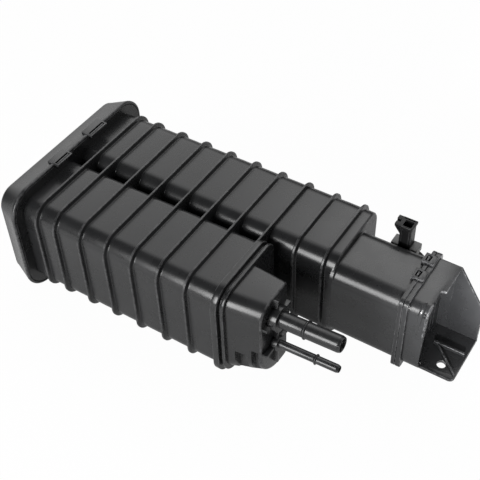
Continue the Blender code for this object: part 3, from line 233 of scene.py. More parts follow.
def stations(x0, x1, places):
    """Places along x for a ribbed length: close together on each flank and at its foot, and four in each bay."""
    flank = np.append(np.linspace(RIB_LAND, RIB_ROOT, 8), RIB_ROOT + FLAT_RING[1])
    near = (places[:, None] + np.concatenate([-flank, [0], flank])).ravel()
    ends = np.concatenate([[x0], places, [x1]])
    bays = (ends[:-1, None] + np.diff(ends)[:, None] * np.array([0.25, 0.5, 0.75])).ravel()
    return np.unique(np.concatenate([near, bays, [x0, x1]]).clip(x0, x1).round(4))


def ribbed(name, x0, x1, places, wall, crest):
    """Ribbed tube: the wall's outline plus the rib's rise times the way to the crest's outline, at each station."""
    x = stations(x0, x1, places)
    rise = rib_rise(x, places)[:, None, None]
    bays = bay_swell(x, np.concatenate([[x0], places, [x1]]))
    walls = np.stack([wall(swell) for swell in bays])
    return skin(name, along(x, walls + rise * (crest - walls)))


body = ribbed(
    "body_moulding", -1, FLANGE_RIB + 1, np.append(RIB_PLACES, FLANGE_RIB),
    lambda swell: twin(swell, swell, False), twin(RIB_TOP, RIB_TOP, True),
)
rear_length = ribbed("rear_length", FLANGE_RIB - 3, REAR_END - 1.5, REAR_RIBS, rear, rear(RIB_TOP))
rear_close = slab("rear_close", REAR_END - 6, REAR_END, rear, 2.2, 5)
end_brim = slab("end_brim", -3, 0, lambda d: twin(10.6 + d, 8.1 + d, True), 0.4)
front_neck = slab("front_neck", 218, 227, front)
front_flange = slab("front_flange", 219, 225.5, front_brim, 0.9, 4)
VENT_FILLET = [(-3, 1.2), (0, 1.2), (0.5, 0.4), (1.2, 0.06), (1.6, 0)]    # past the rear end, and out from the box
vent_box = skin("vent_box", along(
    [REAR_END + ahead for ahead, _ in VENT_FILLET] + [360], [vent(out) for _, out in VENT_FILLET] + [vent()],
))
vent_flange = slab("vent_flange", 358, 362, vent_ring, 0.7)


END_CATCH = [
    (-1, 113.9), (-1, 118.2), (0.3, 118.2), (0.3, 118.6), (1.3, 121.7), (2.5, 121.7), (2.5, 118.6), (0.5, 113.9),
]
CAP_CATCH = [(358.4, 103), (358.4, 105.9), (359.7, 105.9), (361.6, 103)]
LOOPS = ((67, 22), (120.5, 25))            # middle and width of the end cover's loops
CAP_LOOPS = (121.5, 143)
seats = [block("loop_seat", (354.4, y - 5, 98), (359, y + 5, 103.4), 0.5) for y in CAP_LOOPS]
catches = [plate("catch", END_CATCH, 1, y - width / 2 + 2.7, y + width / 2 - 2.7, 0) for y, width in LOOPS]
catches += [plate("catch", CAP_CATCH, 1, y - 3, y + 3, 0.25) for y in CAP_LOOPS]
combine(body, "UNION", [
    rear_length, rear_close, end_brim, front_neck, front_flange, vent_box, vent_flange, *catches, *seats,
])
VALVE_AT = (329, 156.8, 52)
bores = [
    skin("front_bore", along([-5, 235], [front(-WALL)] * 2)),
    skin("rear_bore", along([-5, REAR_END - WALL], [rear(-WALL)] * 2)),
    skin("vent_bore", along([REAR_END, 370], [vent(-WALL)] * 2)),
    skin("window_bore", along([REAR_END - 6, REAR_END + WALL], [window()] * 2)),
    turned("valve_bore", [(-15, 0), (-15, 15.3), (5, 15.3), (5, 0)], VALVE_AT, (0, 1, 0), 90),
]
collar = turned("valve_collar", [(-9.9, 0), (-9.9, 18.3), (-1.6, 18.3), (-1.6, 0)], VALVE_AT, (0, 1, 0))
combine(bores[2], "DIFFERENCE", [collar])
combine(body, "DIFFERENCE", bores)


LEAST_APART, NARROW = 0.0004, 0.0012       # metres


def read(items, name, kind, width=1):
    """One property of all the vertices, edges, corners or faces of a mesh, as an array."""
    values = np.empty(len(items) * width, kind)
    items.foreach_get(name, values)
    return values.reshape(-1, width) if width > 1 else values


def mark_edges(thing):
    """Stores how sharply the surface folds at each vertex, as the attribute "edge" of the narrow faces there: the
    fold's angle over the distance between the two faces' middles, times one millimetre, and 0 in creases. A face is
    narrow if its area over its longest side is under 1.2 mm, so that the mark never spreads over a broad face."""
    mesh = thing.data
    loop_edge, loop_vertex = read(mesh.loops, "edge_index", int), read(mesh.loops, "vertex_index", int)
    normals, middles = read(mesh.polygons, "normal", float, 3), read(mesh.polygons, "center", float, 3)
    ends, places = read(mesh.edges, "vertices", int, 2), read(mesh.vertices, "co", float, 3)
    loop_face = np.repeat(np.arange(len(mesh.polygons)), read(mesh.polygons, "loop_total", int))
    order = np.argsort(loop_edge, kind="stable")
    pairs = np.flatnonzero(loop_edge[order][1:] == loop_edge[order][:-1])
    one, two = loop_face[order[pairs]], loop_face[order[pairs + 1]]
    angle = np.arccos(np.clip((normals[one] * normals[two]).sum(axis=1), -1, 1))
    apart = middles[two] - middles[one]
    outward = -np.sign((normals[one] * apart).sum(axis=1))
    fold = np.clip(outward * angle / np.maximum(np.linalg.norm(apart, axis=1), LEAST_APART) * 0.001, -1, 1)
    value = np.zeros(len(mesh.vertices))
    np.maximum.at(value, ends[loop_edge[order[pairs]]].ravel(), np.repeat(np.maximum(fold, 0), 2))
    lengths = np.linalg.norm(np.diff(places[ends], axis=1)[:, 0], axis=1)
    longest = np.maximum.reduceat(lengths[loop_edge], read(mesh.polygons, "loop_start", int))
    narrow = read(mesh.polygons, "area", float) / longest < NARROW
    value = value[loop_vertex] * narrow[loop_face]
    mesh.attributes.new("edge", "FLOAT", "CORNER").data.foreach_set("value", value.astype(np.float32))


def node(tree, kind, inputs=None, **settings):
    """Adds a shader node, sets its properties and gives its inputs a value or another node's output."""
    made = tree.nodes.new("ShaderNode" + kind)
    for name, value in settings.items():
        setattr(made, name, value)
    for name, value in (inputs or {}).items():
        if isinstance(value, bpy.types.NodeSocket):
            tree.links.new(value, made.inputs[name])
        else:
            made.inputs[name].default_value = value
    return made


def mix(tree, factor, low, high):
    """Colour between two others by a factor."""
    made = node(tree, "Mix", data_type="RGBA")
    sockets = [made.inputs["Factor"], *[socket for socket in made.inputs if socket.type == "RGBA"]]
    for socket, value in zip(sockets, (factor, low, high)):
        if isinstance(value, bpy.types.NodeSocket):
            tree.links.new(value, socket)
        else:
            socket.default_value = value if socket.type == "VALUE" else (*value, 1)
    return next(socket for socket in made.outputs if socket.type == "RGBA")


def ramp(tree, value, low, high, start=0.0, end=1.0):
    """Maps a value from one range to another."""
    made = node(tree, "MapRange", {"Value": value, "From Min": low, "From Max": high, "To Min": start, "To Max": end})
    return made.outputs["Result"]


def begun(name):
    """New node material, with its tree, its shader and a piece's own coordinates for patterns."""
    material = bpy.data.materials.new(name)
    material.use_nodes = True
    tree = material.node_tree
    return material, tree, tree.nodes["Principled BSDF"], node(tree, "TexCoord").outputs["Object"]


def emboss(tree, shader, height, strength, distance):
    """Presses a pattern into the surface as bump."""
    bump = node(tree, "Bump", {"Height": height, "Strength": strength, "Distance": distance})
    tree.links.new(bump.outputs["Normal"], shader.inputs["Normal"])


def moulded(name, dark, light, rubbed_highlit, roughness, grain, depth):
    """Moulded plastic: two close shades in soft clouds, a fine spark-eroded grain as bump, gloss that follows the
    clouds, and lighter edges where the mesh carries the attribute "edge": partly rubbed wear, partly a painted edge
    highlight."""
    material, tree, shader, where = begun(name)
    clouds = node(tree, "TexNoise", {"Vector": where, "Scale": 38.0, "Detail": 4.0, "Roughness": 0.6}).outputs["Fac"]
    fine = node(tree, "TexNoise", {"Vector": where, "Scale": 1 / grain, "Detail": 2.0}).outputs["Fac"]
    edge = node(tree, "Attribute", attribute_name="edge").outputs["Fac"]
    scuff_and_glint = node(tree, "TexNoise", {"Vector": where, "Scale": 210.0, "Detail": 5.0, "Roughness": 0.7}).outputs["Fac"]
    # Painted edge highlight mixed with rubbed wear: sharply folded edges get a lighter colour, broken up by noise.
    edge_wear_and_highlight = node(tree, "Math", {0: ramp(tree, edge, 0.08, 0.5), 1: ramp(tree, scuff_and_glint, 0.4, 0.62)}, operation="MULTIPLY")
    shade = mix(tree, ramp(tree, clouds, 0.3, 0.7), dark, light)
    tree.links.new(mix(tree, edge_wear_and_highlight.outputs[0], shade, rubbed_highlit), shader.inputs["Base Color"])
    gloss = node(tree, "Math", {0: ramp(tree, clouds, 0.3, 0.7, roughness - 0.03, roughness + 0.04),
                                1: ramp(tree, edge_wear_and_highlight.outputs[0], 0, 1, 0, 0.12)}, operation="ADD")
    tree.links.new(gloss.outputs[0], shader.inputs["Roughness"])
    emboss(tree, shader, fine, 0.35, depth)
    return material


def dress(thing, material, rides_on, slot, *nodes, smooth=32):
    """Gives a new piece its shading and material, and says what it rides on and which solids it stands for."""
    thing.data.name = thing.name
    thing.data.materials.clear()
    thing.data.materials.append(material)
    thing.data.shade_smooth()
    thing.data.set_sharp_from_angle(angle=math.radians(smooth))
    mark_edges(thing)
    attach(thing, rides_on)
    if nodes:
        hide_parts(*nodes)


# The third colour is the lighter edge colour: partly rubbed wear, partly a painted edge highlight.
charcoal = moulded(
    "charcoal_nylon", (0.014, 0.0143, 0.015), (0.019, 0.0194, 0.0204), (0.085, 0.085, 0.088), 0.27, 0.0007, 0.00004,
)
dress(body, charcoal, "canister", "charcoal_plastic", "canister_body")


# End cover. A deep moulded pan of the same nylon that closes both chambers at the far end: its side tapers away
# from the joint, its outer face is recessed and stiffened with bars, and two loops snap over the body's flange.

COVER_OUT, COVER_TAPER = -27, 9.6
COVER_ROUND = 3
COVER_EDGE = 1.6
COVER_LAND, COVER_SUNK = 7, 4.5
cover_rim = section((-9.5, -7), (191.5, 121.5), (28,) * 4)


def cover_profile():
    """Distances along x and offsets of the rim's outline, from the middle of the recessed face, over the land,
    down the tapered side to the rounded edge, in round the body's flange, and on to the plenum's floor."""
    turn = np.radians(np.linspace(0, 90, 7))
    land = COVER_OUT + COVER_ROUND * (1 - np.sin(turn)), -COVER_TAPER - COVER_ROUND * (1 - np.cos(turn))
    inner = COVER_OUT + 1 - np.sin(turn), -COVER_TAPER - COVER_LAND + 1 - np.cos(turn)
    floor = COVER_OUT + COVER_SUNK
    points = [(floor, -COVER_TAPER - COVER_LAND - 2.5), (floor, -COVER_TAPER - COVER_LAND - 0.6)]
    points += [(floor - 0.6, -COVER_TAPER - COVER_LAND)]
    points += list(zip(inner[0], inner[1]))
    points += list(zip(land[0][::-1], land[1][::-1]))
    points += [(-4.3, -0.9), (-3.2, -0.35), (-2.2, -0.04)]
    points += list(zip(-COVER_EDGE * (1 - np.sin(turn)), -COVER_EDGE * (1 - np.cos(turn))))
    points += [(0, -2.35), (-0.25, -WALL), (-3.3, -WALL), (-3.3, -5.5), (-3.8, -5.9)]
    points += [(COVER_OUT + 8.5, -COVER_TAPER - WALL + 0.3), (floor + WALL, -COVER_TAPER - WALL - 1.4)]
    return np.array(points)


profile = cover_profile()
cover = skin("end_cover_moulding", along(profile[:, 0], [cover_rim(offset) for offset in profile[:, 1]]))
face_low, face_high = np.array([6.1, 8.6]), np.array([175.9, 105.9])
bar_top, bar_foot = COVER_OUT + 1.5, COVER_OUT + COVER_SUNK + 1
bar_step = (face_high[0] - face_low[0]) / 7
bars = [
    block("bar", (bar_top, y - 1.2, face_low[1]), (bar_foot, y + 1.2, face_high[1]), 0.6)
    for y in face_low[0] + bar_step * np.arange(1, 7)
]
bars.append(block("bar", (bar_top, face_low[0], 56.05), (bar_foot, face_high[0], 58.45), 0.6))


def snap_loop(y, width, low, high, bar, slot):
    """Loop that springs over a catch: a rounded tongue between two corners in x and z, with a slot for the catch."""
    tongue = block("loop", (low[0], y - width / 2, low[1]), (high[0], y + width / 2, high[1]), 0.6)
    half = width / 2 - bar
    hole = block("slot", (slot[0], y - half, low[1] - 4), (slot[1], y + half, high[1] + 4), 0.3)
    return combine(tongue, "DIFFERENCE", [hole])


loops = [snap_loop(y, width, (-3.7, 119.8), (5.4, 122.2), 1.8, (-0.3, 3.6)) for y, width in LOOPS]
roots = [block("loop_root", (-8.4, y - width / 2, 117.5), (-2.4, y + width / 2, 122.16), 0.6) for y, width in LOOPS]
combine(cover, "UNION", bars + loops + roots)
dress(cover, charcoal, "canister", "charcoal_plastic", "end_cover")


# Port cover. Closes the front chamber with a flange and a hollow nose of the same nylon. The nose carries the
# large tank stub and the small purge stub, each with a collar and a bead for its hose, and ribs on its face.

PORT_START = 227.3
NOSE_ROOT, NOSE_END = 229.0, 266.0
NOSE_EDGE = 2
STUB_Y = 30
STUB_RISE = math.radians(3.5)
port_rim = section((0.5, 3.5), (87.5, 111.5), (19.5, 11.5, 11.5, 19.5))
nose_root = section((4, 7), (56.5, 108), (CORNER, 4, 4, CORNER))
nose_tip = section((8.4, 7), (54, 107), (36, 4, 4, CORNER))


def nose_rings():
    """Nose: its outline runs evenly from root to tip, and its end is drawn in along a quarter circle."""
    turn = np.radians(np.linspace(0, 90, 6))
    share = np.array([0, 0.3, 0.6, 0.97, 1])[:, None, None]
    body_x = NOSE_ROOT + (NOSE_END - NOSE_EDGE - NOSE_ROOT) * share.ravel()
    body_rings = along(body_x, nose_root() * (1 - share) + nose_tip() * share)
    drawn_in = NOSE_EDGE * (1 - np.cos(turn[1:]))
    end = along(NOSE_END - NOSE_EDGE + NOSE_EDGE * np.sin(turn[1:]), [nose_tip(-distance) for distance in drawn_in])
    return np.concatenate([body_rings, end])


def eased(points, radius, steps=4):
    """Rounds a profile's inner corners: each is replaced by a curve through it, weighted from its two sides."""
    points = [np.array(p, float) for p in points]
    made = [points[0]]
    for before, corner, after in zip(points, points[1:], points[2:]):
        reach = min(radius, np.linalg.norm(before - corner) * 0.45, np.linalg.norm(after - corner) * 0.45)
        start = corner + (before - corner) / np.linalg.norm(before - corner) * reach
        end = corner + (after - corner) / np.linalg.norm(after - corner) * reach
        share = np.linspace(0, 1, steps + 1)[:, None]
        made += list(start * (1 - share) ** 2 + 2 * corner * share * (1 - share) + end * share ** 2)
    return np.array(made + [points[-1]])


def hose_stub(name, z, radius, collar, collar_length, bead, bead_radius, reach):
    """Stub with its collar, its bead (gentle toward the tip, steep toward the root) and a chamfered tip."""
    axis = (math.cos(STUB_RISE), 0, math.sin(STUB_RISE))
    outline = [
        (-1.3, 0), (-1.3, collar), (collar_length, collar), (collar_length, radius),
        (bead - 1.3, radius), (bead, bead_radius), (bead + 0.7, bead_radius), (bead + 1.4, radius),
        (reach - 2.6, radius), (reach, radius - 0.8), (reach, 0),
    ]
    return turned(name, eased(outline, 0.5), (NOSE_END, STUB_Y, z), axis)


def bore(z, radius, reach):
    """Cutter for a stub's bore, widened a little at its mouth."""
    axis = (math.cos(STUB_RISE), 0, math.sin(STUB_RISE))
    outline = [(-12, 0), (-12, radius), (reach - 0.6, radius), (reach + 0.4, radius + 0.6), (reach + 4, radius + 0.6)]
    return turned("bore", outline + [(reach + 4, 0)], (NOSE_END, STUB_Y, z), axis, 50)


port = slab("port_cover_moulding", PORT_START, PORT_START + 2, front, 0.3)
TANK = dict(z=83.9, radius=7.91, collar=12.5, collar_length=9, bead=33.5, bead_radius=9.1, reach=68.8)
PURGE = dict(z=48.6, radius=3.95, collar=7.5, collar_length=7, bead=44, bead_radius=5.2, reach=67.6)
port_parts = [
    slab("port_flange", PORT_START + 1.3, PORT_START + 4.3, port_rim, 0.7),
    skin("nose", nose_rings()),
    hose_stub("tank_stub", **TANK),
    hose_stub("purge_stub", **PURGE),
    block("face_rib", (NOSE_END - 1.3, STUB_Y - 1.3, 21), (NOSE_END + 5, STUB_Y + 1.3, 105)),
    block("face_rib", (NOSE_END - 1.3, 10.4, TANK["z"] - 1.3), (NOSE_END + 5, 52, TANK["z"] + 1.3)),
    block("face_rib", (NOSE_END - 1.3, 10.4, PURGE["z"] - 1.3), (NOSE_END + 5, 52, PURGE["z"] + 1.3)),
]
combine(port, "UNION", port_parts)
port_cuts = [
    skin("plenum", along([PORT_START - 5, NOSE_ROOT], [front(-4.1)] * 2)),
    skin("nose_room", along([NOSE_ROOT - 1, NOSE_END - WALL], [nose_root(-4.5), nose_tip(-4.5)])),
    block("pocket", (239.6, -8, -8), (252.6, 15, 43), 1),
    block("pocket", (256, -8, -8), (263, 15, 52), 1),
    bore(TANK["z"], 6, TANK["reach"]),
    bore(PURGE["z"], 2.6, PURGE["reach"]),
]
guard = block("guard", (NOSE_ROOT - 5, 0, 0), (NOSE_END, 17.6, 54.6), 0.4)
partition = block("partition", (NOSE_ROOT - 5, 0, 63.1), (NOSE_END, 90, 65.5), 0.4)
combine(port_cuts[1], "DIFFERENCE", [guard, partition])
combine(port, "DIFFERENCE", port_cuts)
dress(port, charcoal, "canister", "charcoal_plastic", "port_cover")


# Vent cap. Snaps on the vent box with a flange and two loops. Its open hood with a slotted panel lets fresh air
# in, its back wall runs out into a gusset, and its floor into the mounting foot with a bolt hole, a ridge and a stay.

CAP_START, HOOD_END = 362.3, 385.5
PANEL_AT = 371.5
FOOT_END, FOOT_HOLE = 415.5, (398.8, 108.5)
CAP_FRONT, CAP_BACK, CAP_FLOOR, CAP_ROOF = 88, 153.5, 13.3, 101
ROOF_CORNER = 11.2
MOUTH_LEAN, MOUTH_HEIGHT = 3, 87.7         # how far the mouth leans back from roof to floor
TAB_END = 388.5
GUSSET_DROP, GUSSET_ROUND = 42.6, 29       # fall of the gusset's slope, and the curve that ends it
cap = section((CAP_FRONT, CAP_FLOOR), (CAP_BACK, CAP_ROOF), (CORNER, 2, 2, ROOF_CORNER))
MOUTH = [
    (HOOD_END, CAP_ROOF), (HOOD_END - MOUTH_LEAN, CAP_FLOOR), (HOOD_END - MOUTH_LEAN, 5), (400, 5), (400, 110),
    (HOOD_END, 110),
]


def gusset_outline():
    """Back wall in x and z: straight down the slope from the roof's tab, and round to the foot's end."""
    slope = Vector((FOOT_END - TAB_END, -GUSSET_DROP)).normalized()
    turn = math.acos(-slope.y)
    angles = np.linspace(0, turn, 13)
    middle = np.array([FOOT_END - GUSSET_ROUND, CAP_ROOF - GUSSET_DROP - GUSSET_ROUND * math.tan(turn / 2)])
    curve = middle + GUSSET_ROUND * np.stack([np.cos(angles), np.sin(angles)], axis=-1)
    foot, tab = [(364.6, CAP_FLOOR), (FOOT_END, CAP_FLOOR)], [(TAB_END, CAP_ROOF), (364.6, CAP_ROOF)]
    return np.concatenate([foot, curve, tab])


def foot_outline():
    """Foot in x and y, with its front corner rounded."""
    angles = np.radians(np.linspace(270, 360, 9))
    corner = np.array([FOOT_END - 5, 101]) + 5 * np.stack([np.cos(angles), np.sin(angles)], axis=-1)
    return np.concatenate([[(PANEL_AT, 96)], corner, [(FOOT_END, CAP_BACK), (PANEL_AT, CAP_BACK)]])


def stay_outline():
    """Thin rib in x and y, straight from the ridge past the hole to the foot's end, 1.6 mm thick."""
    turn = math.radians(42.6)
    run, side = np.array([math.cos(turn), -math.sin(turn)]), np.array([math.sin(turn), math.cos(turn)])
    near = FOOT_HOLE + side * 5.5
    first = near + run * (128.3 - near[1]) / run[1]
    last = near + run * (FOOT_END - 1.6 - near[0]) / run[0]
    return [first - 0.8 * side, last - 0.8 * side, last + 0.8 * side, first + 0.8 * side]


def corner_bead(name, back, radius, lift):
    """Bead round the hood's front-top corner and down its front wall, beside the mouth: a circle about each point
    of the hood's outline, spanned by the outward direction there and by x, thinner toward both ends."""
    turn = np.radians(np.linspace(90, 180, 13))
    outward = np.stack([np.cos(turn), np.sin(turn)], axis=-1)
    outward = np.concatenate([outward, np.repeat(outward[-1:], 4, axis=0)])
    path = np.array([CAP_FRONT + ROOF_CORNER, CAP_ROOF - ROOF_CORNER]) + ROOF_CORNER * outward
    path[13:, 1] -= np.array([5, 10, 16, 22])
    size = radius * np.sin(np.radians(np.linspace(25, 155, len(path)))) ** 0.5
    circle = np.linspace(0, 2 * np.pi, 16, endpoint=False)
    reach = size[:, None, None] * np.cos(circle)[:, None] * outward[:, None]
    yz = path[:, None] + lift * outward[:, None] + reach
    x = HOOD_END - MOUTH_LEAN * (CAP_ROOF - path[:, 1:]) / MOUTH_HEIGHT - back + size[:, None] * np.sin(circle)
    return skin(name, np.concatenate([x[:, :, None], yz], axis=-1))


cap_ring = slab("cap_ring", CAP_START, CAP_START + 4.7, vent_ring, 0.7)
combine(cap_ring, "DIFFERENCE", [skin("ring_bore", along([355, 375], [cap(-1.3)] * 2))])
panel = slab("cap_panel", PANEL_AT, PANEL_AT + 2.5, lambda d: cap(d - 1.3), 0.2)
slots = [
    block("slot", (PANEL_AT - 3, y, 24.9), (PANEL_AT + 6, y + 3.6, 89.4), 1.5, 4) for y in 99.6 + 7.74 * np.arange(6)
]
combine(panel, "DIFFERENCE", slots)
hood = skin("vent_cap_moulding", along([363, 395], [cap()] * 2))
hood_cuts = [
    plate("past_mouth", MOUTH, 1, 80, 165, 0),
    block("notch", (HOOD_END - 2, 99.2, 90), (400, 118.5, 110), 1.8, 4),
    skin("hood_room", along([355, 400], [cap(-WALL)] * 2)),
]
ease(combine(hood, "DIFFERENCE", hood_cuts), 0.5)
combine(hood, "DIFFERENCE", [corner_bead("channel", 6.9, 3.3, 1.9)])
tab = block("tab", (HOOD_END - 5, 118.5, 98.42), (TAB_END, 153.4, 100.98), 0.7, 3)
cap_parts = [cap_ring, panel, tab, plate("gusset", gusset_outline(), 1, 150.94, 153.46, 0.6)]
cap_parts += [plate("foot", foot_outline(), 2, 13.26, 16.5, 0.5), plate("stay", stay_outline(), 2, 14.3, 18.7, 0.4)]
cap_parts.append(corner_bead("mouth_lip", 1.4, 1.3, 0.1))
cap_parts.append(block("ridge", (382.3, 127, 14.1), (412.9, 129.6, 20), 0.7, 3))
for y in CAP_LOOPS:
    cap_parts.append(snap_loop(y, 12, (354.8, 104.3), (366.6, 106.5), 2, (357.2, 362)))
    cap_parts.append(block("loop_root", (CAP_START + 0.1, y - 5.8, 102.6), (366.2, y + 5.8, 105.3), 0.5))
combine(hood, "UNION", cap_parts)
hole = [(-5, 0), (-5, 4.3), (3.0, 4.3), (3.6, 4.8), (9, 4.8), (9, 0)]
combine(hood, "DIFFERENCE", [turned("foot_bore", hole, (*FOOT_HOLE, CAP_FLOOR), (0, 0, 1))])
dress(hood, charcoal, "canister", "charcoal_plastic", "vent_cap")


# Vent valve's housing. A black plastic cup with a flange and a neck that plugs into the vent box's back wall. Its
# connector stands up behind the box: a socket with a rim and a latch, on a paler base that is moulded on.

PLUG_Y, PLUG_TOP = 162.9, 116.5
PIN_X = (327.2, 330.8)
housing_profile = eased([
    (-11, 0), (-11, 15), (-6.6, 15), (-6.6, 12.3), (-3.4, 12.3), (-3.4, 15), (0, 15), (0, 23), (2.8, 23), (2.8, 19),
    (24, 19), (24, 0),
], 0.4, 3)
housing = turned("valve_housing_moulding", housing_profile, VALVE_AT, (0, 1, 0), 96)
LATCH_OUTLINE = [(324.2, 103.6), (324.2, 116.1), (317.2, 116.1), (317.2, 113.1)]
housing_parts = [
    block("tower", (323.2, 157.25, 60), (334.8, 168.55, PLUG_TOP), 0.8, 3),
    block("rim", (321, 157.65, 113.3), (335.2, 170.75, PLUG_TOP), 0.6, 3),
    block("horn", (316.4, 165.6, 112.4), (321.6, 170.6, 116.4), 0.6, 3),
    block("shoulder", (316.4, 157.6, 84), (341.6, 169.9, 91.4), 0.8, 3),
    plate("latch", LATCH_OUTLINE, 1, 158.25, 162.65, 0.4),
    *[block("key", (x - 0.5, 156.95, 94), (x + 0.5, 158, 113), 0.3) for x in (325.4, 332.6)],
]
combine(housing, "UNION", housing_parts)
housing_cuts = [
    turned("neck_bore", [(-16, 0), (-16, 11), (0, 11), (0, 0)], VALVE_AT, (0, 1, 0)),
    turned("stem_hole", [(-5, 0), (-5, 2.3), (5, 2.3), (5, 0)], VALVE_AT, (0, 1, 0)),
    turned("cup", [(2.8, 0), (2.8, 16), (29, 16), (29, 0)], VALVE_AT, (0, 1, 0), 96),
    block("socket", (324.7, 158.75, 101.5), (333.3, 167.05, 122), 0.8, 3),
    block("rim_recess", (322.4, 168.1, 114.9), (333.8, 169.6, 122), 0.4),
    *[block("pin_hole", (x - 1, PLUG_Y - 0.65, 98.5), (x + 1, PLUG_Y + 0.65, 106), 0.2) for x in PIN_X],
]
combine(housing, "DIFFERENCE", housing_cuts)
connector_black = moulded(
    "connector_black", (0.003, 0.003, 0.0032), (0.005, 0.005, 0.0053), (0.03, 0.03, 0.031), 0.4, 0.0006, 0.00003,
)
connector_black.node_tree.nodes["Principled BSDF"].inputs["Specular IOR Level"].default_value = 0.3
dress(housing, connector_black, "canister", "connector_plastic", "valve_housing")
base = block("connector_base", (315.85, 157.25, 83.7), (342.15, 170.25, 92), 1, 4)
combine(base, "DIFFERENCE", [block("core", (316.4, 157.6, 80), (341.6, 169.9, 91.4), 0.8, 3)])
combine(base, "DIFFERENCE", [block("core", (322.9, 157, 80), (335.1, 168.85, 99), 0.8, 3)])
base_grey = moulded("base_grey", (0.1, 0.1, 0.098), (0.14, 0.14, 0.136), (0.24, 0.24, 0.23), 0.45, 0.0007, 0.00003)
dress(base, base_grey, "canister", "connector_plastic")


# Inner mouldings: the open grids and spring plates that hold the filling, the duct to the valve's seat and the
# coil's bobbin, all of the same uncoloured nylon.


def paint(material, *nodes):
    """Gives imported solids, whose shapes are kept, a finished material."""
    for name in nodes:
        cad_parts[name].material_slots[0].material = material


natural = moulded(
    "natural_nylon", (0.5, 0.475, 0.41), (0.58, 0.56, 0.5), (0.68, 0.67, 0.62), 0.44, 0.0009, 0.00003,
)
paint(natural, "front_retainer_plate", "rear_retainer_plate", "port_grid", "vent_grid", "vent_duct", "coil_bobbin")


# Filters. Needled polyester felt at both ends of each bed, and the dust filter in the cap, cut to their chambers
# and held between a grid and the carbon.


def needled_felt(name, dark, light):
    """Felt: short fibres as noise stretched along x and along z, mixed into the colour and pressed into the bump,
    with a soft sheen of loose ends."""
    material, tree, shader, where = begun(name)
    layers = []
    for stretch in ((260, 1700, 1500), (1700, 1500, 260)):
        laid = node(tree, "Mapping", {"Vector": where, "Scale": stretch}).outputs["Vector"]
        layers.append(node(tree, "TexNoise", {"Vector": laid, "Scale": 1.0, "Detail": 3.0}).outputs["Fac"])
    fibres = node(tree, "Math", {0: layers[0], 1: layers[1]}, operation="MAXIMUM").outputs[0]
    tufts = node(tree, "TexNoise", {"Vector": where, "Scale": 120.0, "Detail": 2.0}).outputs["Fac"]
    both = node(tree, "Math", {0: fibres, 1: tufts}, operation="MULTIPLY").outputs[0]
    tree.links.new(mix(tree, ramp(tree, both, 0.16, 0.42), dark, light), shader.inputs["Base Color"])
    shader.inputs["Roughness"].default_value = 0.95
    shader.inputs["Sheen Weight"].default_value = 0.3
    emboss(tree, shader, both, 0.8, 0.0006)
    return material


felt = needled_felt("needled_felt", (0.3, 0.29, 0.26), (0.56, 0.55, 0.5))
paint(felt, "front_end_filter", "rear_end_filter", "front_port_filter", "rear_vent_filter", "dust_filter")


# Carbon beds. Extruded activated carbon pellets of about 2 mm, poured into both chambers and pressed together by
# the springs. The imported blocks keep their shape, and the pellets are in their material.


def pellets(name, size):
    """Pellets: each cell of a Voronoi pattern is one pellet, domed by its distance to the cell's middle, with a
    shade of its own and painted shade, near black, in the joints between pellets."""
    material, tree, shader, where = begun(name)
    cells = node(tree, "TexVoronoi", {"Vector": where, "Scale": 1 / size})
    own = node(tree, "SeparateXYZ", {"Vector": cells.outputs["Color"]}).outputs["X"]
    shade = mix(tree, own, (0.006, 0.006, 0.006), (0.02, 0.02, 0.021))
    # Painted shade: near black toward each pellet's border, where the joints between pellets are.
    gap_shade = ramp(tree, cells.outputs["Distance"], 0.45, 0.7)
    tree.links.new(mix(tree, gap_shade, shade, (0.003, 0.003, 0.003)), shader.inputs["Base Color"])
    tree.links.new(ramp(tree, own, 0, 1, 0.7, 0.95), shader.inputs["Roughness"])
    dome = ramp(tree, cells.outputs["Distance"], 0.0, 0.7, 1, 0)
    emboss(tree, shader, dome, 1.0, size * 0.4)
    return material


paint(pellets("activated_carbon_pellets", 0.0022), "front_carbon_bed", "rear_carbon_bed")


# Steel pieces. Drawn spring wire for the bed springs and the valve's return spring, and turned, ground steel for
# the valve's pole piece and plunger.


def bare_metal(name, dark, light, roughness, stretch, depth):
    """Bare metal: fine lines as noise stretched along one axis, in its colour, its gloss and a shallow bump."""
    material, tree, shader, where = begun(name)
    laid = node(tree, "Mapping", {"Vector": where, "Scale": stretch}).outputs["Vector"]
    lines = node(tree, "TexNoise", {"Vector": laid, "Scale": 1.0, "Detail": 4.0, "Roughness": 0.65}).outputs["Fac"]
    film = node(tree, "TexNoise", {"Vector": where, "Scale": 160.0, "Detail": 2.0}).outputs["Fac"]
    tree.links.new(mix(tree, ramp(tree, film, 0.35, 0.65), dark, light), shader.inputs["Base Color"])
    tree.links.new(ramp(tree, lines, 0.3, 0.7, roughness - 0.06, roughness + 0.12), shader.inputs["Roughness"])
    shader.inputs["Metallic"].default_value = 1.0
    emboss(tree, shader, lines, 0.3, depth)
    return material


wire_steel = bare_metal("drawn_spring_wire", (0.4, 0.4, 0.4), (0.52, 0.52, 0.5), 0.34, (900, 900, 900), 0.00002)
ground_steel = bare_metal("ground_steel", (0.46, 0.46, 0.46), (0.57, 0.57, 0.55), 0.26, (250, 3500, 250), 0.00001)
paint(ground_steel, "pole_piece", "plunger")


def wound_spring(name, place, axis, length, radius, wire, turns, level_turns=0.6):
    """Spring: a circle of the wire's radius is carried along a helix, spanned by the outward direction and the
    axis. The helix is level over a part of its first and last turn, and rises evenly between them."""
    share = np.linspace(0, 1, turns * 40 + 1)
    turn = 2 * np.pi * turns * share
    rise = np.clip((share * turns - level_turns) / (turns - 2 * level_turns), 0, 1)
    around = np.linspace(0, 2 * np.pi, 14, endpoint=False)
    out = radius + wire * np.cos(around)
    height = wire + (length - 2 * wire) * rise[:, None] + wire * np.sin(around)
    points = np.stack([np.cos(turn)[:, None] * out, np.sin(turn)[:, None] * out, height], axis=-1)
    facing = np.array(Vector((0, 0, 1)).rotation_difference(Vector(axis)).to_matrix())
    return skin(name, points @ facing.T + np.array(place, float))


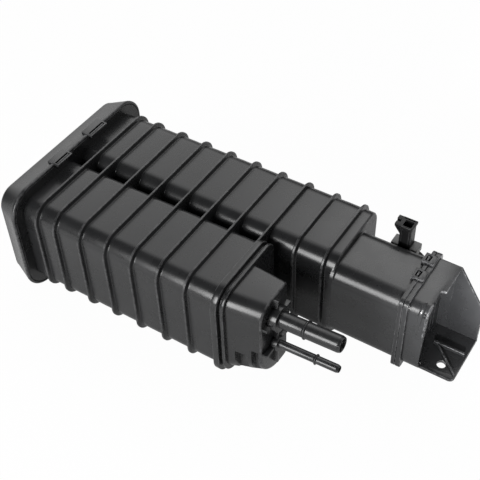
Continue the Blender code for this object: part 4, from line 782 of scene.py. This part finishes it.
BED_SPRING = dict(axis=(1, 0, 0), length=38, radius=10, wire=0.9, turns=4)
BED_SPRING_START = -19.6
for side, y in (("front", 44), ("rear", 135)):
    for level, z in (("upper", 79), ("lower", 33)):
        spring = wound_spring(f"{side}_bed_spring_{level}", (BED_SPRING_START, y, z), **BED_SPRING)
        dress(spring, wire_steel, "canister", "spring_steel", f"{side}_spring_{level}", smooth=60)
RETURN_START, RETURN_LENGTH, VALVE_TRAVEL = 163.6, 6.7, 2.5
return_spring = wound_spring(
    "return_spring", (VALVE_AT[0], RETURN_START, VALVE_AT[2]), (0, 1, 0), RETURN_LENGTH, 3.4, 0.35, 4,
)
dress(return_spring, wire_steel, "canister", "spring_steel", "plunger_spring", smooth=60)
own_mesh(return_spring)


# Coil winding. Enamelled copper wire laid in even turns on the bobbin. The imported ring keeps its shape, and the
# turns are in its material.


def wound_wire(name, pitch):
    """Wire turns: a sine along the coil's axis rounds each turn, darkens its grooves with painted shade and varies the
    enamel.
    """
    material, tree, shader, where = begun(name)
    place = node(tree, "SeparateXYZ", {"Vector": where}).outputs["Y"]
    phase = node(tree, "Math", {0: place, 1: 2 * math.pi / pitch}, operation="MULTIPLY").outputs[0]
    round_turn = node(tree, "Math", {0: phase}, operation="SINE").outputs[0]
    enamel = node(tree, "TexNoise", {"Vector": where, "Scale": 300.0, "Detail": 3.0}).outputs["Fac"]
    copper = mix(tree, ramp(tree, enamel, 0.3, 0.7), (0.5, 0.19, 0.07), (0.66, 0.29, 0.13))
    # Painted shade: the grooves between turns get a dark copper colour.
    groove_shaded_copper = mix(tree, ramp(tree, round_turn, -1, -0.2), (0.12, 0.04, 0.015), copper)
    tree.links.new(groove_shaded_copper, shader.inputs["Base Color"])
    shader.inputs["Metallic"].default_value = 1.0
    shader.inputs["Roughness"].default_value = 0.3
    shader.inputs["Coat Weight"].default_value = 0.4
    emboss(tree, shader, round_turn, 0.8, pitch * 0.3)
    return material


paint(wound_wire("enamelled_copper", 0.0006), "coil_winding")


# Seals. The plunger's seal and the neck's O-ring, moulded in black rubber with a dull bloom. Both keep the shape
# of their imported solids.

rubber = moulded("black_rubber", (0.01, 0.01, 0.01), (0.016, 0.016, 0.0165), (0.04, 0.04, 0.04), 0.62, 0.0004, 0.00002)
paint(rubber, "plunger_seal", "valve_o_ring")


# Terminals and valve cover. Two tinned brass pins pressed into the socket's floor, and the disc that closes the
# valve's cup, of the connector's black plastic.

tinned = bare_metal("tinned_brass", (0.6, 0.585, 0.53), (0.72, 0.7, 0.63), 0.24, (2500, 2500, 250), 0.00001)
paint(tinned, "terminal_left", "terminal_right")
paint(connector_black, "valve_cover")


# Floor, light and camera. A pale studio floor that stays white to the camera, a dim room with broad lights behind,
# above and at both sides, a soft box low in front, a small lamp for the hood, and a long lens.

CAMERA_PLACE = (0.3514, -0.5191, 0.7389)
CAMERA_TURN = (44.202, 1.622, 32.603)    # degrees about x, y and z
LENS = 71.54
FLOOR_TO_CAMERA, FLOOR_TO_GLOSS = 0.975, 0.2    # part of the floor's white that is its own
ROOM_LEVEL = 0.08


def floor_material():
    """Pale floor: most of its white is its own to the camera, and a part of it to gloss and glass, so that the
    object's shadow stays soft."""
    material = bpy.data.materials.new("studio_floor")
    material.use_nodes = True
    tree = material.node_tree
    shader = tree.nodes["Principled BSDF"]
    shader.inputs["Base Color"].default_value = (0.9, 0.9, 0.9, 1)
    shader.inputs["Roughness"].default_value = 0.9
    shader.inputs["Specular IOR Level"].default_value = 0.0
    glow = node(tree, "Emission", {"Color": (1, 1, 1, 1), "Strength": 1.0})
    path = node(tree, "LightPath")
    seen = node(tree, "Math", {0: path.outputs["Is Camera Ray"], 1: FLOOR_TO_CAMERA}, operation="MULTIPLY")
    mirrored = node(tree, "Math", {0: path.outputs["Is Glossy Ray"], 1: path.outputs["Is Transmission Ray"]})
    part = node(tree, "Math", {0: mirrored.outputs[0], 1: FLOOR_TO_GLOSS}, operation="MULTIPLY")
    both = node(tree, "Math", {0: seen.outputs[0], 1: part.outputs[0]}, operation="ADD", use_clamp=True)
    blend = node(tree, "MixShader", {0: both.outputs[0], 1: shader.outputs[0], 2: glow.outputs[0]})
    tree.links.new(blend.outputs[0], tree.nodes["Material Output"].inputs["Surface"])
    return material


floor_mesh = bpy.data.meshes.new("floor")
floor_mesh.from_pydata([(-6, -6, 0), (6, -6, 0), (6, 6, 0), (-6, 6, 0)], [], [(0, 1, 2, 3)])
floor_mesh.materials.append(floor_material())
floor = bpy.data.objects.new("floor", floor_mesh)
bpy.context.scene.collection.objects.link(floor)


SKY_LIGHTS = [    # direction, degrees from it where a light is full and where it is gone, strength
    ((-0.39, 0.58, 0.72), 14, 32, 1.35),
    ((-0.14, 0.67, 0.73), 4, 15, 2.0),
    ((-0.82, 0.5, 0.2), 12, 34, 1.2),
    ((0.66, 0.52, 0.54), 12, 36, 0.7),
    ((0.3, 0.5, 0.81), 10, 25, 0.8),
]


def sky_light(tree, facing, direction, inner, outer, strength):
    """Bright patch of the room: full within the inner angle from its direction, and gone at the outer one."""
    toward = Vector(direction).normalized()
    near = node(tree, "VectorMath", {0: facing, 1: toward}, operation="DOT_PRODUCT").outputs["Value"]
    return ramp(tree, near, math.cos(math.radians(outer)), math.cos(math.radians(inner)), 0, strength)


def studio_world():
    """Room round the object: dim all round, with broad lights behind, above and at both sides of it."""
    world = bpy.data.worlds.new("studio")
    world.use_nodes = True
    tree = world.node_tree
    facing = node(tree, "TexCoord").outputs["Generated"]
    level = ROOM_LEVEL
    for light in SKY_LIGHTS:
        level = node(tree, "Math", {0: level, 1: sky_light(tree, facing, *light)}, operation="ADD").outputs[0]
    room = node(tree, "Background", {"Color": (1, 1, 1, 1), "Strength": level})
    plain = node(tree, "Background", {"Color": (1, 1, 1, 1), "Strength": 1.0})
    path = node(tree, "LightPath")
    blend = node(tree, "MixShader", {0: path.outputs["Is Camera Ray"], 1: room.outputs[0], 2: plain.outputs[0]})
    tree.links.new(blend.outputs[0], tree.nodes["World Output"].inputs["Surface"])
    return world


bpy.context.scene.world = studio_world()


def aimed(name, kind, place, aim, **settings):
    """Lamp of a kind at a place, facing another one."""
    lamp = bpy.data.lights.new(name, kind)
    for setting, value in settings.items():
        setattr(lamp, setting, value)
    thing = bpy.data.objects.new(name, lamp)
    thing.location = place
    thing.rotation_euler = (Vector(place) - Vector(aim)).to_track_quat("Z", "Y").to_euler()
    bpy.context.scene.collection.objects.link(thing)


aimed("front_soft_box", "AREA", (-0.32, -1.46, 0.7), (0, 0, 0.06), shape="RECTANGLE", size=0.6, size_y=0.8, energy=21)
aimed("hood_fill", "SPOT", (0.45, -0.86, 0.36), (0.232, 0.062, 0.092), spot_size=math.radians(11), spot_blend=1.0,
      shadow_soft_size=0.05, energy=250)

camera = bpy.data.objects.new("camera", bpy.data.cameras.new("camera"))
camera.data.lens = LENS
camera.data.sensor_width = 36
camera.data.clip_start = 0.05
camera_turn = Euler([math.radians(angle) for angle in CAMERA_TURN])
camera.matrix_world = Matrix.LocRotScale(Vector(CAMERA_PLACE), camera_turn, None)
bpy.context.scene.collection.objects.link(camera)
bpy.context.scene.camera = camera
bpy.context.scene.view_settings.view_transform = "Standard"
